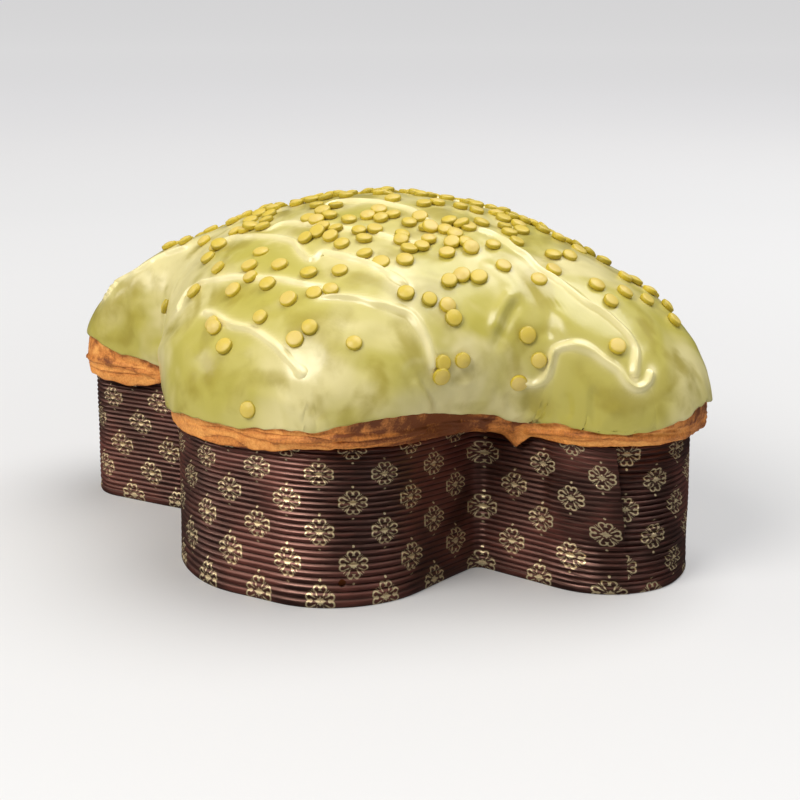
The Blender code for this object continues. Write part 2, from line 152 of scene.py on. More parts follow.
@dataclass
class DovePlan:
    """The dove seen from above, as rings that have the same columns at every offset."""

    half_length: float = 153.0
    tail_half: float = 43.0
    tail_round: float = 37.0
    tail_notch: Pair = (70.0, 33.0)
    wing_span: float = 112.0
    wing_tail_x: float = 55.0
    wing_tail_round: float = 55.0
    wing_head_x: float = -43.0
    wing_head_round: float = 62.0
    head_notch: Pair = (-78.0, 37.0)
    head_half: float = 39.0
    head_round: float = 21.0
    notch_rounds: Pair = (3.0, 3.0)
    arc_steps: int = 48
    counts: tuple[int, int, int] = (11, 20, 11)
    fineness: int = 8

    def __post_init__(self) -> None:
        """Works out the number of columns and the case's own ring."""
        self.columns = 2 * sum(self.counts) * self.fineness
        self.outline = self.ring(0.0, self.notch_rounds)

    def corners(self, offset: float) -> list[Array]:
        """Corners of the +Y half moved out by an offset, with one more before and after them."""
        flip = np.array((1.0, -1.0))
        tail, head = np.array(self.tail_notch), np.array(self.head_notch)
        points = [
            tail * flip, (self.half_length, -self.tail_half), (self.half_length, self.tail_half),
            tail, (self.wing_tail_x, self.wing_span), (self.wing_head_x, self.wing_span), head,
            (-self.half_length, self.head_half), (-self.half_length, -self.head_half), head * flip,
        ]
        return [self.mitred(*points[k:k + 3], offset) for k in range(len(points) - 2)]

    @staticmethod
    def mitred(before: Sequence[float], corner: Sequence[float], after: Sequence[float],
               offset: float) -> Array:
        """The corner of a counterclockwise outline after both its sides move out by an offset."""
        before, corner, after = np.array(before), np.array(corner), np.array(after)
        side_in = (corner - before) / np.linalg.norm(corner - before)
        side_out = (after - corner) / np.linalg.norm(after - corner)
        middle = np.array([side_in[1] + side_out[1], -side_in[0] - side_out[0]])
        return corner + middle * offset * 2.0 / (middle @ middle)

    def rounded(self, before: Array, corner: Array, after: Array,
                radius: float) -> Array:
        """Points of the arc that rounds one corner."""
        to_before, to_after = before - corner, after - corner
        back, forth = to_before / np.linalg.norm(to_before), to_after / np.linalg.norm(to_after)
        half_angle = 0.5 * math.acos(float(np.clip(back @ forth, -1.0, 1.0)))
        room = 0.5 * min(np.linalg.norm(to_before), np.linalg.norm(to_after))
        reach = min(radius / math.tan(half_angle), room)
        radius = reach * math.tan(half_angle)
        middle = (back + forth) / np.linalg.norm(back + forth)
        centre = corner + middle * radius / math.sin(half_angle)
        start, end = corner + back * reach - centre, corner + forth * reach - centre
        first = math.atan2(start[1], start[0])
        sweep = (math.atan2(end[1], end[0]) - first + math.pi) % (2 * math.pi) - math.pi
        angles = first + sweep * np.linspace(0.0, 1.0, self.arc_steps + 1)
        return centre + radius * np.column_stack([np.cos(angles), np.sin(angles)])

    def ring(self, offset: float, notch_rounds: Pair) -> Array:
        """The whole outline as a counterclockwise ring.

        Args:
            offset: distance that the outline moves out.
            notch_rounds: radii of the notches by the tail and by the head.

        Returns:
            One point for each column, from the tail's tip.
        """
        corners = self.corners(offset)
        radii = [self.tail_round + offset, notch_rounds[0], self.wing_tail_round + offset,
                 self.wing_head_round + offset, notch_rounds[1], self.head_round + offset]
        arcs = [self.rounded(*corners[k:k + 3], radius) for k, radius in enumerate(radii)]
        halfway = self.arc_steps // 2
        tail_tip, head_tip = (self.half_length + offset, 0.0), (-self.half_length - offset, 0.0)
        tail = np.vstack([tail_tip, arcs[0], arcs[1][:halfway + 1]])
        wing = np.vstack([arcs[1][halfway:], arcs[2], arcs[3], arcs[4][:halfway + 1]])
        head = np.vstack([arcs[4][halfway:], arcs[5], head_tip])
        half = [resampled(line, count * self.fineness)
                for line, count in zip((tail, wing, head), self.counts)]
        side = np.vstack([half[0], half[1][1:], half[2][1:]])
        return np.vstack([side, side[-2:0:-1] * (1.0, -1.0)])

    @staticmethod
    def out_of(ring: Array) -> Array:
        """Unit directions out of a ring, one for each column."""
        along = np.roll(ring, -1, axis=0) - np.roll(ring, 1, axis=0)
        out = np.column_stack([along[:, 1], -along[:, 0]])
        return out / np.linalg.norm(out, axis=1)[:, None]

    def half_places(self) -> Array:
        """How far round its half each column stands: 0 at the tail's tip and 1 at the head's."""
        index = np.arange(self.columns)
        return np.minimum(index, self.columns - index) / (self.columns // 2)


def resampled(line: Array, count: int) -> Array:
    """The same line with a number of equal steps."""
    lengths = np.linalg.norm(np.diff(line, axis=0), axis=1)
    along = np.concatenate([[0.0], np.cumsum(lengths)])
    places = np.linspace(0.0, along[-1], count + 1)
    return np.column_stack([np.interp(places, along, line[:, k]) for k in range(line.shape[1])])


def smooth_route(points: Sequence[Sequence[float]], step: float, fine: int = 16) -> Array:
    """A smooth curve through a route's own points.

    Args:
        points: the route's points in the plan.
        step: distance between two points of the result.
        fine: steps between two of the route's points before the curve is cut evenly.

    Returns:
        Evenly spaced points along the curve.
    """
    route = np.array(points, dtype=float)
    padded = np.vstack([2 * route[0] - route[1], route, 2 * route[-1] - route[-2]])
    line = []
    for k in range(len(route) - 1):
        p0, p1, p2, p3 = padded[k:k + 4]
        for part in np.linspace(0.0, 1.0, fine, endpoint=False):
            line.append(0.5 * (2 * p1 + (p2 - p0) * part + (2 * p0 - 5 * p1 + 4 * p2 - p3) * part ** 2
                               + (3 * p1 - p0 - 3 * p2 + p3) * part ** 3))
    line = np.vstack([line, route[-1]])
    length = np.linalg.norm(np.diff(line, axis=0), axis=1).sum()
    return resampled(line, max(3, round(length / step)))


@dataclass
class LoafForm:
    """The loaf's form: the paper's rim, the crust that bulges over it and the dome."""

    plan: DovePlan
    rim_height: float = 62.5
    tail_rim_rise: float = 1.8
    wing_rim_rise: float = 6.0
    wing_rim_power: float = 1.5
    wall_lean: float = 1.1
    clearance: float = 0.4
    flank: Pair = (-90.0, 60.0)
    lip_offset: float = 0.6
    lip_notch_rounds: Pair = (20.0, 10.0)
    crust_offset: float = 2.4
    crust_notch_rounds: Pair = (34.0, 16.0)
    dome_shift: float = 1.4
    crust_bulge: float = 9.0
    crown_x: float = 1.5
    crown_height: float = 154.0
    crown_reach_tail: float = 152.5
    crown_reach_head: float = 154.0
    crown_reach_wing: float = 117.0
    inward_power: float = 1.18
    upward_foot: Pair = (0.93, 1.0)
    upward_top: Pair = (1.3, 0.96)
    valley_fill: float = 0.95
    valley_powers: Pair = (1.1, 0.75)
    swells: tuple[tuple[float, float, float, float], ...] = (
        (1.3, 21.0, 17.0, 0.3), (1.3, 21.0, -17.0, 1.1), (1.6, 13.0, 7.6, 0.0))
    icing_bands: tuple[Pair, ...] = (
        (0.00, 12.5), (0.05, 11.2), (0.10, 8.2), (0.17, 8.4), (0.23, 9.4), (0.29, 15.0),
        (0.36, 15.4), (0.43, 10.0), (0.50, 6.9), (0.58, 6.6), (0.66, 9.0), (0.72, 11.0),
        (0.77, 10.2), (0.83, 14.4), (0.90, 18.6), (1.00, 20.0))
    edge_waves: tuple[Triple, ...] = ((0.6, 1.9, 0.0), (0.6, 0.83, 1.0))

    def __post_init__(self) -> None:
        """Works out the rings that the form hangs on."""
        outline = self.plan.outline
        wing = np.abs(outline[:, 1]) / self.plan.wing_span
        tail = outline[:, 0] / self.plan.half_length
        self.rim = (self.rim_height + self.tail_rim_rise * tail
                    + self.wing_rim_rise * wing ** self.wing_rim_power)
        self.lip = self.plan.ring(self.lip_offset, self.lip_notch_rounds)
        shift = np.array((self.dome_shift, 0.0))
        self.widest = self.plan.ring(self.crust_offset, self.crust_notch_rounds) + shift
        self.girdle = np.column_stack([self.widest, np.zeros(self.plan.columns)])
        from_crown = self.widest - (self.crown_x, 0.0)
        self.angle = np.arctan2(from_crown[:, 1], from_crown[:, 0])
        self.radius = np.hypot(*from_crown.T)
        reach = np.where(np.cos(self.angle) > 0.0, self.crown_reach_tail, self.crown_reach_head)
        self.oval = 1.0 / np.hypot(np.cos(self.angle) / reach,
                                   np.sin(self.angle) / self.crown_reach_wing)

    def between_ends(self, pair: Pair) -> Array:
        """A value on each column: the pair's first towards the head, its second to the tail."""
        return pair[0] + (pair[1] - pair[0]) * (0.5 + 0.5 * np.cos(self.angle))

    def skin(self, turns: Array) -> Array:
        """Points of the bread's skin.

        Args:
            turns: degrees up from the widest level, as rows by columns.

        Returns:
            The points, as rows by columns by x, y and z.
        """
        turn = np.radians(np.broadcast_to(turns, (len(turns), self.plan.columns)))
        up = np.clip(np.sin(turn), 0.0, 1.0)
        inward = np.clip(np.cos(turn), 0.0, 1.0) ** self.inward_power
        fill = self.valley_fill * up ** self.between_ends(self.valley_powers)
        reach = (self.radius + fill * (self.oval - self.radius)) * inward
        dome = np.stack([self.crown_x + reach * np.cos(self.angle), reach * np.sin(self.angle)],
                        axis=-1)
        curl = (1.0 - np.cos(turn))[..., None]
        lip = self.widest * (1.0 - curl) + self.lip * curl
        flat = np.where((turn < 0.0)[..., None], lip, dome)
        foot = self.between_ends(self.upward_foot)
        power = foot + (self.between_ends(self.upward_top) - foot) * up
        level = self.rim + self.crust_bulge
        above = (self.crown_height - level) * up ** power + self.swell(flat) * up * inward
        below = (self.crust_bulge - self.clearance) * np.clip(np.sin(turn), -1.0, 0.0)
        return np.concatenate([flat, (level + above + below)[..., None]], axis=-1)

    def swell(self, flat: Array) -> Array:
        """Height that the slow swells add to the dome at each place of the plan."""
        x, y = flat[..., 0], flat[..., 1]
        return sum(h * np.sin(x / along + y / across + start)
                   for h, along, across, start in self.swells)

    def turn_at(self, height: Array) -> Array:
        """The turn at which each column of the lower flank reaches a height above the table."""
        turns = np.arange(*self.flank)
        heights = self.skin(turns[:, None])[..., 2]
        return np.array([np.interp(z, column, turns) for z, column in zip(height, heights.T)])

    def icing_edge(self, extra: Array) -> Array:
        """The turn of the icing's lower edge on each column, with some extra height."""
        columns = np.arange(self.plan.columns) / self.plan.fineness
        waves = sum(h * np.sin(columns * turn + start) for h, turn, start in self.edge_waves)
        bands = smooth_table(self.plan.half_places(), self.icing_bands)
        return self.turn_at(self.rim + bands + waves + extra)


def grid_normals(points: Array) -> Array:
    """Unit directions out of a closed band of points, as rows by columns by x, y and z."""
    along = np.roll(points, -1, axis=1) - np.roll(points, 1, axis=1)
    upward = np.gradient(points, axis=0)
    out = np.cross(along, upward)
    return out / np.maximum(np.linalg.norm(out, axis=-1), 1e-9)[..., None]


class Bench:
    """Where meshes are made: grids drawn on to points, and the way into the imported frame."""

    hair = 0.02
    weld = 0.0001

    def __init__(self) -> None:
        """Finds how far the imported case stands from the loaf's own plan."""
        low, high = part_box("paper_case")
        self.shift = np.array([low[0] / MM + DovePlan.half_length,
                               0.5 * (low[1] + high[1]) / MM, 0.0])

    def limits(self) -> tuple[Array, Array]:
        """The lowest and highest corners of the CAD box in millimetres of the plan, a hair inside."""
        low, high = (np.array(corner) / MM - self.shift for corner in CAD_BOX)
        return low + self.hair, high - self.hair

    def to_frame(self, points: Array) -> Array:
        """Points in metres in the frame, from points in millimetres in the loaf's plan."""
        return (points + self.shift) * MM

    def shell(self, name: str, rings: Array, bottom: Sequence[float], top: Sequence[float],
              values: dict[str, Array] | None = None) -> Object:
        """A closed round piece: a grid rolled up, with its first and last rows drawn to a point.

        Args:
            name: the piece's name.
            rings: rings of points from the lowest to the highest, rows by columns.
            bottom: the lower pole.
            top: the upper pole.
            values: numbers to store on the mesh, each as rows by columns.

        Returns:
            The new object, smooth.
        """
        ends = [np.broadcast_to(pole, rings[:1].shape) for pole in (bottom, top)]
        rolled = self.rolled(np.concatenate([ends[0], rings, ends[1]]))
        stored = {key: self.rolled(np.concatenate([value[:1], value, value[-1:]]))
                  for key, value in (values or {}).items()}
        item = self.strip(name, rolled, stored)
        edit(item, whole=True)
        bpy.ops.mesh.remove_doubles(threshold=self.weld * MM)
        leave_edit()
        return item

    @staticmethod
    def rolled(table: Array) -> Array:
        """A table whose first column is repeated after its last."""
        return np.concatenate([table, table[:, :1]], axis=1)

    def strip(self, name: str, points: Array, values: dict[str, Array] | None = None) -> Object:
        """A flat grid primitive drawn on to points.

        Args:
            name: the piece's name.
            points: where its points go, as rows by columns by x, y and z.
            values: numbers to store on the mesh, each as rows by columns.

        Returns:
            The new object, smooth, with the grid's own UV map.
        """
        rows, columns = points.shape[:2]
        select_only()
        bpy.ops.mesh.primitive_grid_add(x_subdivisions=columns - 1, y_subdivisions=rows - 1, size=2.0)
        item = fresh(name)
        start = read_points(item)
        column = np.rint((start[:, 0] + 1.0) * 0.5 * (columns - 1)).astype(int)
        row = np.rint((start[:, 1] + 1.0) * 0.5 * (rows - 1)).astype(int)
        write_points(item, self.to_frame(points[row, column]))
        for key, value in (values or {}).items():
            write_attribute(item, key, value[row, column])
        bpy.ops.object.shade_smooth()
        return item


def select_only(*items: Object) -> None:
    """Selects these objects and nothing else, the first of them active."""
    for item in bpy.context.selected_objects:
        item.select_set(False)
    for item in items:
        item.select_set(True)
    if items:
        bpy.context.view_layer.objects.active = items[0]


def fresh(name: str) -> Object:
    """The object that was just added, with its name."""
    item = bpy.context.object
    item.name = item.data.name = name
    return item


def add_object(name: str, data: bpy.types.ID) -> Object:
    """Puts a mesh, a light or a camera into the scene."""
    item = bpy.data.objects.new(name, data)
    bpy.context.scene.collection.objects.link(item)
    return item


def read_points(item: Object) -> Array:
    """The points of an object's mesh."""
    flat = np.empty(3 * len(item.data.vertices), dtype=np.float32)
    item.data.vertices.foreach_get("co", flat)
    return flat.reshape(-1, 3).astype(float)


def write_points(item: Object, points: Array) -> None:
    """Moves the points of an object's mesh."""
    item.data.vertices.foreach_set("co", points.astype(np.float32).ravel())
    item.data.update()


def write_attribute(item: Object, name: str, values: Array) -> None:
    """Stores one number for each point of an object's mesh."""
    layer = item.data.attributes.new(name, "FLOAT", "POINT")
    layer.data.foreach_set("value", values.astype(np.float32).ravel())


def edit(item: Object, whole: bool = False) -> bmesh.types.BMesh:
    """Enters edit mode on an object.

    Args:
        item: the object.
        whole: whether all of it is selected, or nothing.

    Returns:
        The mesh being edited.
    """
    select_only(item)
    bpy.ops.object.mode_set(mode="EDIT")
    bpy.ops.mesh.select_all(action="SELECT" if whole else "DESELECT")
    return bmesh.from_edit_mesh(item.data)


def leave_edit(outwards: bool = False) -> None:
    """Leaves edit mode, once every face is turned outwards if that is asked for."""
    if outwards:
        bpy.ops.mesh.select_all(action="SELECT")
        bpy.ops.mesh.normals_make_consistent(inside=False)
    bpy.ops.object.mode_set(mode="OBJECT")


def apply_modifier(item: Object, kind: str, **settings: object) -> None:
    """Adds a modifier with its settings and applies it."""
    modifier = item.modifiers.new(kind.lower(), kind)
    for name, value in settings.items():
        setattr(modifier, name, value)
    bpy.context.view_layer.objects.active = item
    bpy.ops.object.modifier_apply(modifier=modifier.name)


class Piece:
    """A piece of the loaf: its material slot, and the CAD nodes that it stands for."""

    slot = ""
    nodes: tuple[str, ...] = ()

    def dress(self, item: Object, material: Material) -> None:
        """Puts a finish on the piece and ties it to the frame."""
        item.data.materials.clear()
        item.data.materials.append(material)
        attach(item, BODY)
        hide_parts(*self.nodes)
        log.info("%s: %d faces", item.name, len(item.data.polygons))


def math_method(operation: str, swapped: bool = False) -> Callable[[Value, Value | float], Value]:
    """Makes a method of Value that adds one Math node.

    Args:
        operation: what the node works out.
        swapped: whether the other value comes first.

    Returns:
        The method.
    """
    def method(value: Value, other: Value | float) -> Value:
        """Adds the node and returns its output."""
        terms = {int(swapped): value, int(not swapped): other}
        return value.graph.node("ShaderNodeMath", {"operation": operation}, terms, "Value")
    return method


class Value:
    """One number in a material's nodes, with Python's operators as Math nodes."""

    def __init__(self, graph: Graph, socket: bpy.types.NodeSocket) -> None:
        """Wraps an output socket."""
        self.graph = graph
        self.socket = socket

    __add__ = __radd__ = math_method("ADD")
    __sub__ = math_method("SUBTRACT")
    __rsub__ = math_method("SUBTRACT", swapped=True)
    __mul__ = __rmul__ = math_method("MULTIPLY")
    __truediv__ = math_method("DIVIDE")
    __pow__ = math_method("POWER")
    least = math_method("MINIMUM")
    most = math_method("MAXIMUM")
    above = math_method("GREATER_THAN")

    def math(self, operation: str) -> Value:
        """A Math node on this value alone."""
        return self.graph.node("ShaderNodeMath", {"operation": operation}, {0: self}, "Value")

    def __abs__(self) -> Value:
        """Size without sign."""
        return self.math("ABSOLUTE")

    def within(self, low: float, high: float) -> Value:
        """A smooth step from 0 at low to 1 at high."""
        return self.graph.node(
            "ShaderNodeMapRange", {"interpolation_type": "SMOOTHSTEP"},
            {"Value": self, "From Min": low, "From Max": high}, "Result")


class Graph:
    """The nodes of one material; the numbers are a colour Mix node's own sockets."""

    mix_factor, mix_first, mix_second = 0, 6, 7
    mix_colour = 2

    def __init__(self, name: str) -> None:
        """Starts a material with its Principled shader."""
        self.material = bpy.data.materials.new(name)
        self.material.use_nodes = True
        self.tree = self.material.node_tree
        self.shader = self.tree.nodes["Principled BSDF"]

    def node(self, kind: str, settings: dict[str, object] | None = None,
             inputs: dict[str | int, object] | None = None, output: str | int = 0) -> Value:
        """Adds a node.

        Args:
            kind: the node's type.
            settings: its properties, set first; stops fills a colour ramp.
            inputs: values or links for its sockets, by name or number.
            output: the output that is returned.

        Returns:
            The chosen output.
        """
        made = self.tree.nodes.new(kind)
        for name, value in (settings or {}).items():
            if name == "stops":
                self.fill_ramp(made, value)
            else:
                setattr(made, name, value)
        for name, value in (inputs or {}).items():
            self.plug(made.inputs[name], value)
        return Value(self, made.outputs[output])

    def plug(self, socket: bpy.types.NodeSocket, value: object) -> None:
        """Sets a socket to a value, or links it."""
        if isinstance(value, Value):
            self.tree.links.new(value.socket, socket)
        elif isinstance(value, tuple) and len(value) == 3 and socket.type == "RGBA":
            socket.default_value = (*value, 1.0)
        else:
            socket.default_value = value

    @staticmethod
    def fill_ramp(made: bpy.types.Node, stops: Sequence[tuple[float, Colour]]) -> None:
        """Gives a colour ramp its stops."""
        ramp = made.color_ramp
        while len(ramp.elements) < len(stops):
            ramp.elements.new(1.0)
        for element, (place, colour) in zip(ramp.elements, stops):
            element.position = place
            element.color = (*colour, 1.0)

    def place(self) -> Value:
        """The place on the piece, in metres."""
        return self.node("ShaderNodeTexCoord", output="Object")

    def attribute(self, name: str) -> Value:
        """A number stored on the mesh."""
        return self.node("ShaderNodeAttribute", {"attribute_name": name}, output="Fac")

    def noise(self, where: Value, size: float, detail: float = 2.0, roughness: float = 0.5,
              distortion: float = 0.0) -> Value:
        """Cloudy noise of 0 to 1.

        Args:
            where: the coordinates.
            size: millimetres of one cloud.
            detail: octaves.
            roughness: strength of the finer octaves.
            distortion: how much it is stirred.

        Returns:
            The noise.
        """
        inputs = {"Vector": where, "Scale": 1.0 / (size * MM), "Detail": detail,
                  "Roughness": roughness, "Distortion": distortion}
        return self.node("ShaderNodeTexNoise", {}, inputs, "Fac")

    def stretched(self, where: Value, scale: Triple) -> Value:
        """Coordinates scaled along each axis."""
        return self.node("ShaderNodeMapping", {}, {"Vector": where, "Scale": scale}, "Vector")

    def mix(self, factor: Value | float, first: object, second: object) -> Value:
        """A colour between two."""
        inputs = {self.mix_factor: factor, self.mix_first: first, self.mix_second: second}
        return self.node("ShaderNodeMix", {"data_type": "RGBA"}, inputs, self.mix_colour)

    def bump(self, height: Value, strength: float, depth: float) -> Value:
        """A direction for the shader from a height; depth is in millimetres."""
        inputs = {"Height": height, "Strength": strength, "Distance": depth * MM}
        return self.node("ShaderNodeBump", {}, inputs, "Normal")

    def dress(self, **inputs: object) -> Material:
        """Sets the shader's sockets; a name's underscores stand for spaces."""
        for name, value in inputs.items():
            self.plug(self.shader.inputs[name.replace("_", " ")], value)
        return self.material


@dataclass(frozen=True)
class PrintedPaper:
    """Dark brown corrugated paper, printed in gold with four-petalled ornaments, with painted shade in
    its grooves.

    The ornament's sizes are in millimetres, out from its middle and aside from a petal's own line.
    """

    ground: Colour = (0.008, 0.0017, 0.0012)
    worn: Colour = (0.17, 0.042, 0.030)
    # painted shade: the near-black colour painted into the grooves between ribs
    groove_shade: Colour = (0.004, 0.0010, 0.0008)
    ink: Colour = (1.0, 0.84, 0.50)
    sheen: Colour = (1.0, 0.56, 0.46)
    ior: float = 2.4
    ink_metal: float = 0.8
    rough: float = 0.24
    rough_play: float = 0.20
    rough_wear: float = 0.08
    rough_groove: float = 0.5
    column_pitch: float = 14.52
    first_column: float = 48.8
    rib_pitch: float = 10.1
    first_rib: float = 0.9
    rib_paper: float = 2.8
    narrowing: float = 0.94
    edge: Pair = (-0.1, 0.12)
    lobe: Pair = (4.5, 1.35)
    lobe_radius: float = 1.2
    petal_slope: float = 0.5
    petal_half: float = 0.3
    petal_end: float = 4.1
    petal_slant: float = 0.9
    petal_edge: Pair = (-0.1, 0.14)
    petal_start: Pair = (1.6, 0.8)
    line_growth: float = 0.03
    line_half: float = 0.15
    tear_place: float = 3.9
    tear_radius: float = 0.62
    tear_squash: float = 0.8
    diagonal: float = 0.7071
    star_power: float = 0.75
    star_arms: Pair = (2.0, 1.6)
    star_rays: Pair = (1.75, 0.7)
    ray_aside: float = 0.5
    ray_half: float = 0.1
    ray_place: float = 4.7
    ray_reach: Pair = (0.7, 1.0)
    ray_ink: float = 0.9
    dot_place: float = 7.9
    dot_radius: float = 0.55

    def material(self) -> Material:
        """Builds the finish, which reads arc and rib number from the wall's UV map."""
        g = Graph("printed_paper")
        uv = g.node("ShaderNodeUVMap", {"uv_map": PaperWall.uv_name}, output="UV")
        split = g.node("ShaderNodeSeparateXYZ", {}, {"Vector": uv}, "X").socket.node
        arc, rib = Value(g, split.outputs["X"]), Value(g, split.outputs["Y"])
        ink = self.ornament(arc, rib)
        where = g.place()
        crest = abs((rib * math.pi).math("SINE"))
        wear = g.noise(where, size=34.0).within(0.42, 0.68)
        fibre = g.noise(g.stretched(where, (0.2, 0.2, 2.5)), size=1.6, detail=3.0).within(0.45, 0.75)
        ground = g.mix(wear * 0.5 + fibre * 0.35, self.ground, self.worn)
        # painted shade: the ground darkens towards each groove
        ground = g.mix(crest.within(0.08, 0.5), self.groove_shade, ground)
        broken = g.noise(where, size=0.8).within(0.25, 0.40)
        # painted shade: the ink dims towards the grooves
        inked = ink * broken * (0.55 + crest * 0.45)
        cloud = g.noise(where, size=2.0, detail=3.0)
        rough = (self.rough + cloud * self.rough_play + wear * self.rough_wear
                 + (1.0 - crest) ** 2.0 * self.rough_groove)
        return g.dress(Base_Color=g.mix(inked, ground, self.ink), Roughness=rough,
                       Metallic=inked * self.ink_metal, IOR=self.ior, Specular_Tint=self.sheen,
                       Normal=g.bump(g.noise(where, size=0.45), strength=0.3, depth=0.06))

    def ornament(self, arc: Value, rib: Value) -> Value:
        """Where the gold ink lies.

        Args:
            arc: millimetres along the paper.
            rib: rib number up the paper.

        Returns:
            1 on the ink and 0 off it.
        """
        across = (arc - self.first_column) / self.column_pitch
        column = across.math("ROUND")
        odd = (column * 0.5).math("FRACT").above(0.25)
        level = (rib - self.first_rib) / self.rib_pitch + odd * 0.5
        x = (across - column) * self.column_pitch
        y = (level - level.math("ROUND")) * (self.rib_pitch * self.rib_paper)
        flat, tall = abs(x) * self.narrowing, abs(y)
        out, aside = flat.most(tall), flat.least(tall)
        outward, apart = (flat + tall) * self.diagonal, abs(flat - tall) * self.diagonal
        tear = self.distance((out - self.tear_place) * self.tear_squash, aside) - self.tear_radius
        star = self.arms(flat, tall, self.star_arms).least(self.arms(outward, apart, self.star_rays))
        ray_ends = 1.0 - abs(outward - self.ray_place).within(*self.ray_reach)
        rays = self.fill(abs(apart - self.ray_aside) - self.ray_half) * ray_ends * self.ray_ink
        dots = self.fill(self.distance(x, tall - self.dot_place) - self.dot_radius)
        ink = self.petals(out, aside).most(self.fill(tear) * flat.above(tall))
        return ink.most(self.fill(star - 1.0)).most(rays).most(dots)

    def petals(self, out: Value, aside: Value) -> Value:
        """The outline of four heart-shaped petals, which starts past the star."""
        lobe = self.distance(out - self.lobe[0], aside - self.lobe[1]) - self.lobe_radius
        side = (aside - out * self.petal_slope - self.petal_half) * self.petal_slant
        side = side.most(out - self.petal_end)
        line = out * self.line_growth + self.line_half
        outline = 1.0 - (abs(lobe.least(side)) - line).within(*self.petal_edge)
        start, fade = self.petal_start
        return outline * (out - start).within(0.0, fade)

    def arms(self, along: Value, across: Value, reach: Pair) -> Value:
        """A pinched star, 1 at its outline: how far its arms reach along and across."""
        return along ** self.star_power / reach[0] + across ** self.star_power / reach[1]

    def fill(self, distance: Value) -> Value:
        """A filled shape, from the distance to its outline."""
        return 1.0 - distance.within(*self.edge)

    @staticmethod
    def distance(x: Value, y: Value) -> Value:
        """Length of a flat vector."""
        return (x * x + y * y).math("SQRT")


@dataclass(frozen=True)
class PlainPaper:
    """The same paper where it isn't printed."""

    colour: Colour = (0.05, 0.018, 0.014)
    contrast: float = 1.5

    def material(self) -> Material:
        """Builds the finish."""
        g = Graph("plain_paper")
        where = g.place()
        worn = tuple(self.contrast * part for part in self.colour)
        shade = g.mix(g.noise(where, size=6.0, detail=3.0), self.colour, worn)
        return g.dress(Base_Color=shade, Roughness=0.6,
                       Normal=g.bump(g.noise(where, size=0.6), strength=0.3, depth=0.05))


@dataclass(frozen=True)
class BakedCrust:
    """Baked crust: orange-brown, matt and finely grained, darker on its ridges; its stored value also
    paints shade at the lip, in the notch and under ledges.
    """

    light: Colour = (0.95, 0.43, 0.10)
    middle: Colour = (0.68, 0.235, 0.04)
    dark: Colour = (0.21, 0.052, 0.006)
    middle_stop: float = 0.45
    contrast: float = 0.9
    pit: float = 1.3

    def material(self) -> Material:
        """Builds the finish; the mesh stores how browned each point is, with painted shade added."""
        g = Graph("baked_crust")
        where = g.place()
        patch = g.noise(where, size=9.0, detail=4.0, roughness=0.6)
        grain = g.noise(where, size=0.9, detail=3.0, roughness=0.6)
        inputs = {"Vector": where, "Scale": 1.0 / (self.pit * MM)}
        pits = g.node("ShaderNodeTexVoronoi", {}, inputs, "Distance").within(0.05, 0.4)
        tone = (patch - 0.5) * self.contrast + (grain - 0.5) * self.contrast
        # the stored value holds painted shade as well as real browning
        tone = tone + g.attribute(Crust.bake_and_shade_name)
        stops = [(0.0, self.light), (self.middle_stop, self.middle), (1.0, self.dark)]
        colour = g.node("ShaderNodeValToRGB", {"stops": stops}, {"Fac": tone}, "Color")
        height = grain * 0.7 + pits * 0.5 + g.noise(where, size=3.0, detail=3.0) * 0.8
        return g.dress(Base_Color=colour, Roughness=0.5 + grain * 0.25,
                       Normal=g.bump(height, strength=0.7, depth=0.25))


@dataclass(frozen=True)
class PistachioIcing:
    """Pistachio icing: satin green with olive patches, pale and creamy along the drizzle, with painted
    shade in a darker band beside it.
    """

    pale: Colour = (0.78, 0.69, 0.325)
    green: Colour = (0.53, 0.465, 0.09)
    olive: Colour = (0.38, 0.305, 0.036)
    cream: Colour = (0.95, 0.85, 0.46)
    olive_share: float = 0.8
    rough: float = 0.24
    rough_play: float = 0.22

    def material(self) -> Material:
        """Builds the finish; the mesh stores how creamy each point is, and the painted shade beside the
        drizzle.
        """
        g = Graph("pistachio_icing")
        where = g.place()
        cream, stroke_shade = g.attribute(IcingCoat.cream_name), g.attribute(IcingCoat.stroke_shade_name)
        slow = g.noise(where, size=48.0, detail=3.0, roughness=0.55, distortion=0.6)
        fine = g.noise(where, size=7.0, detail=4.0, roughness=0.55, distortion=0.4)
        body = g.mix(slow.within(0.38, 0.66), self.green, self.pale)
        # stroke_shade adds painted shade, a darker olive, in a band beside the drizzle
        deep = g.noise(where, size=26.0, distortion=0.8) * 0.8 + fine * 0.2 + stroke_shade * 0.07
        body = g.mix(deep.within(0.50, 0.72) * self.olive_share, body, self.olive)
        upright = g.stretched(where, (1.0, 1.0, 0.35))
        drawn = g.noise(upright, size=4.0, detail=3.0, distortion=0.8)
        height = g.noise(where, size=11.0) + drawn * 0.5 + g.noise(where, size=1.6) * 0.10
        return g.dress(Base_Color=g.mix(cream.least(1.0), body, self.cream),
                       Roughness=self.rough + fine * self.rough_play, Coat_Weight=0.4,
                       Coat_Roughness=0.2, Normal=g.bump(height, strength=0.3, depth=0.5))


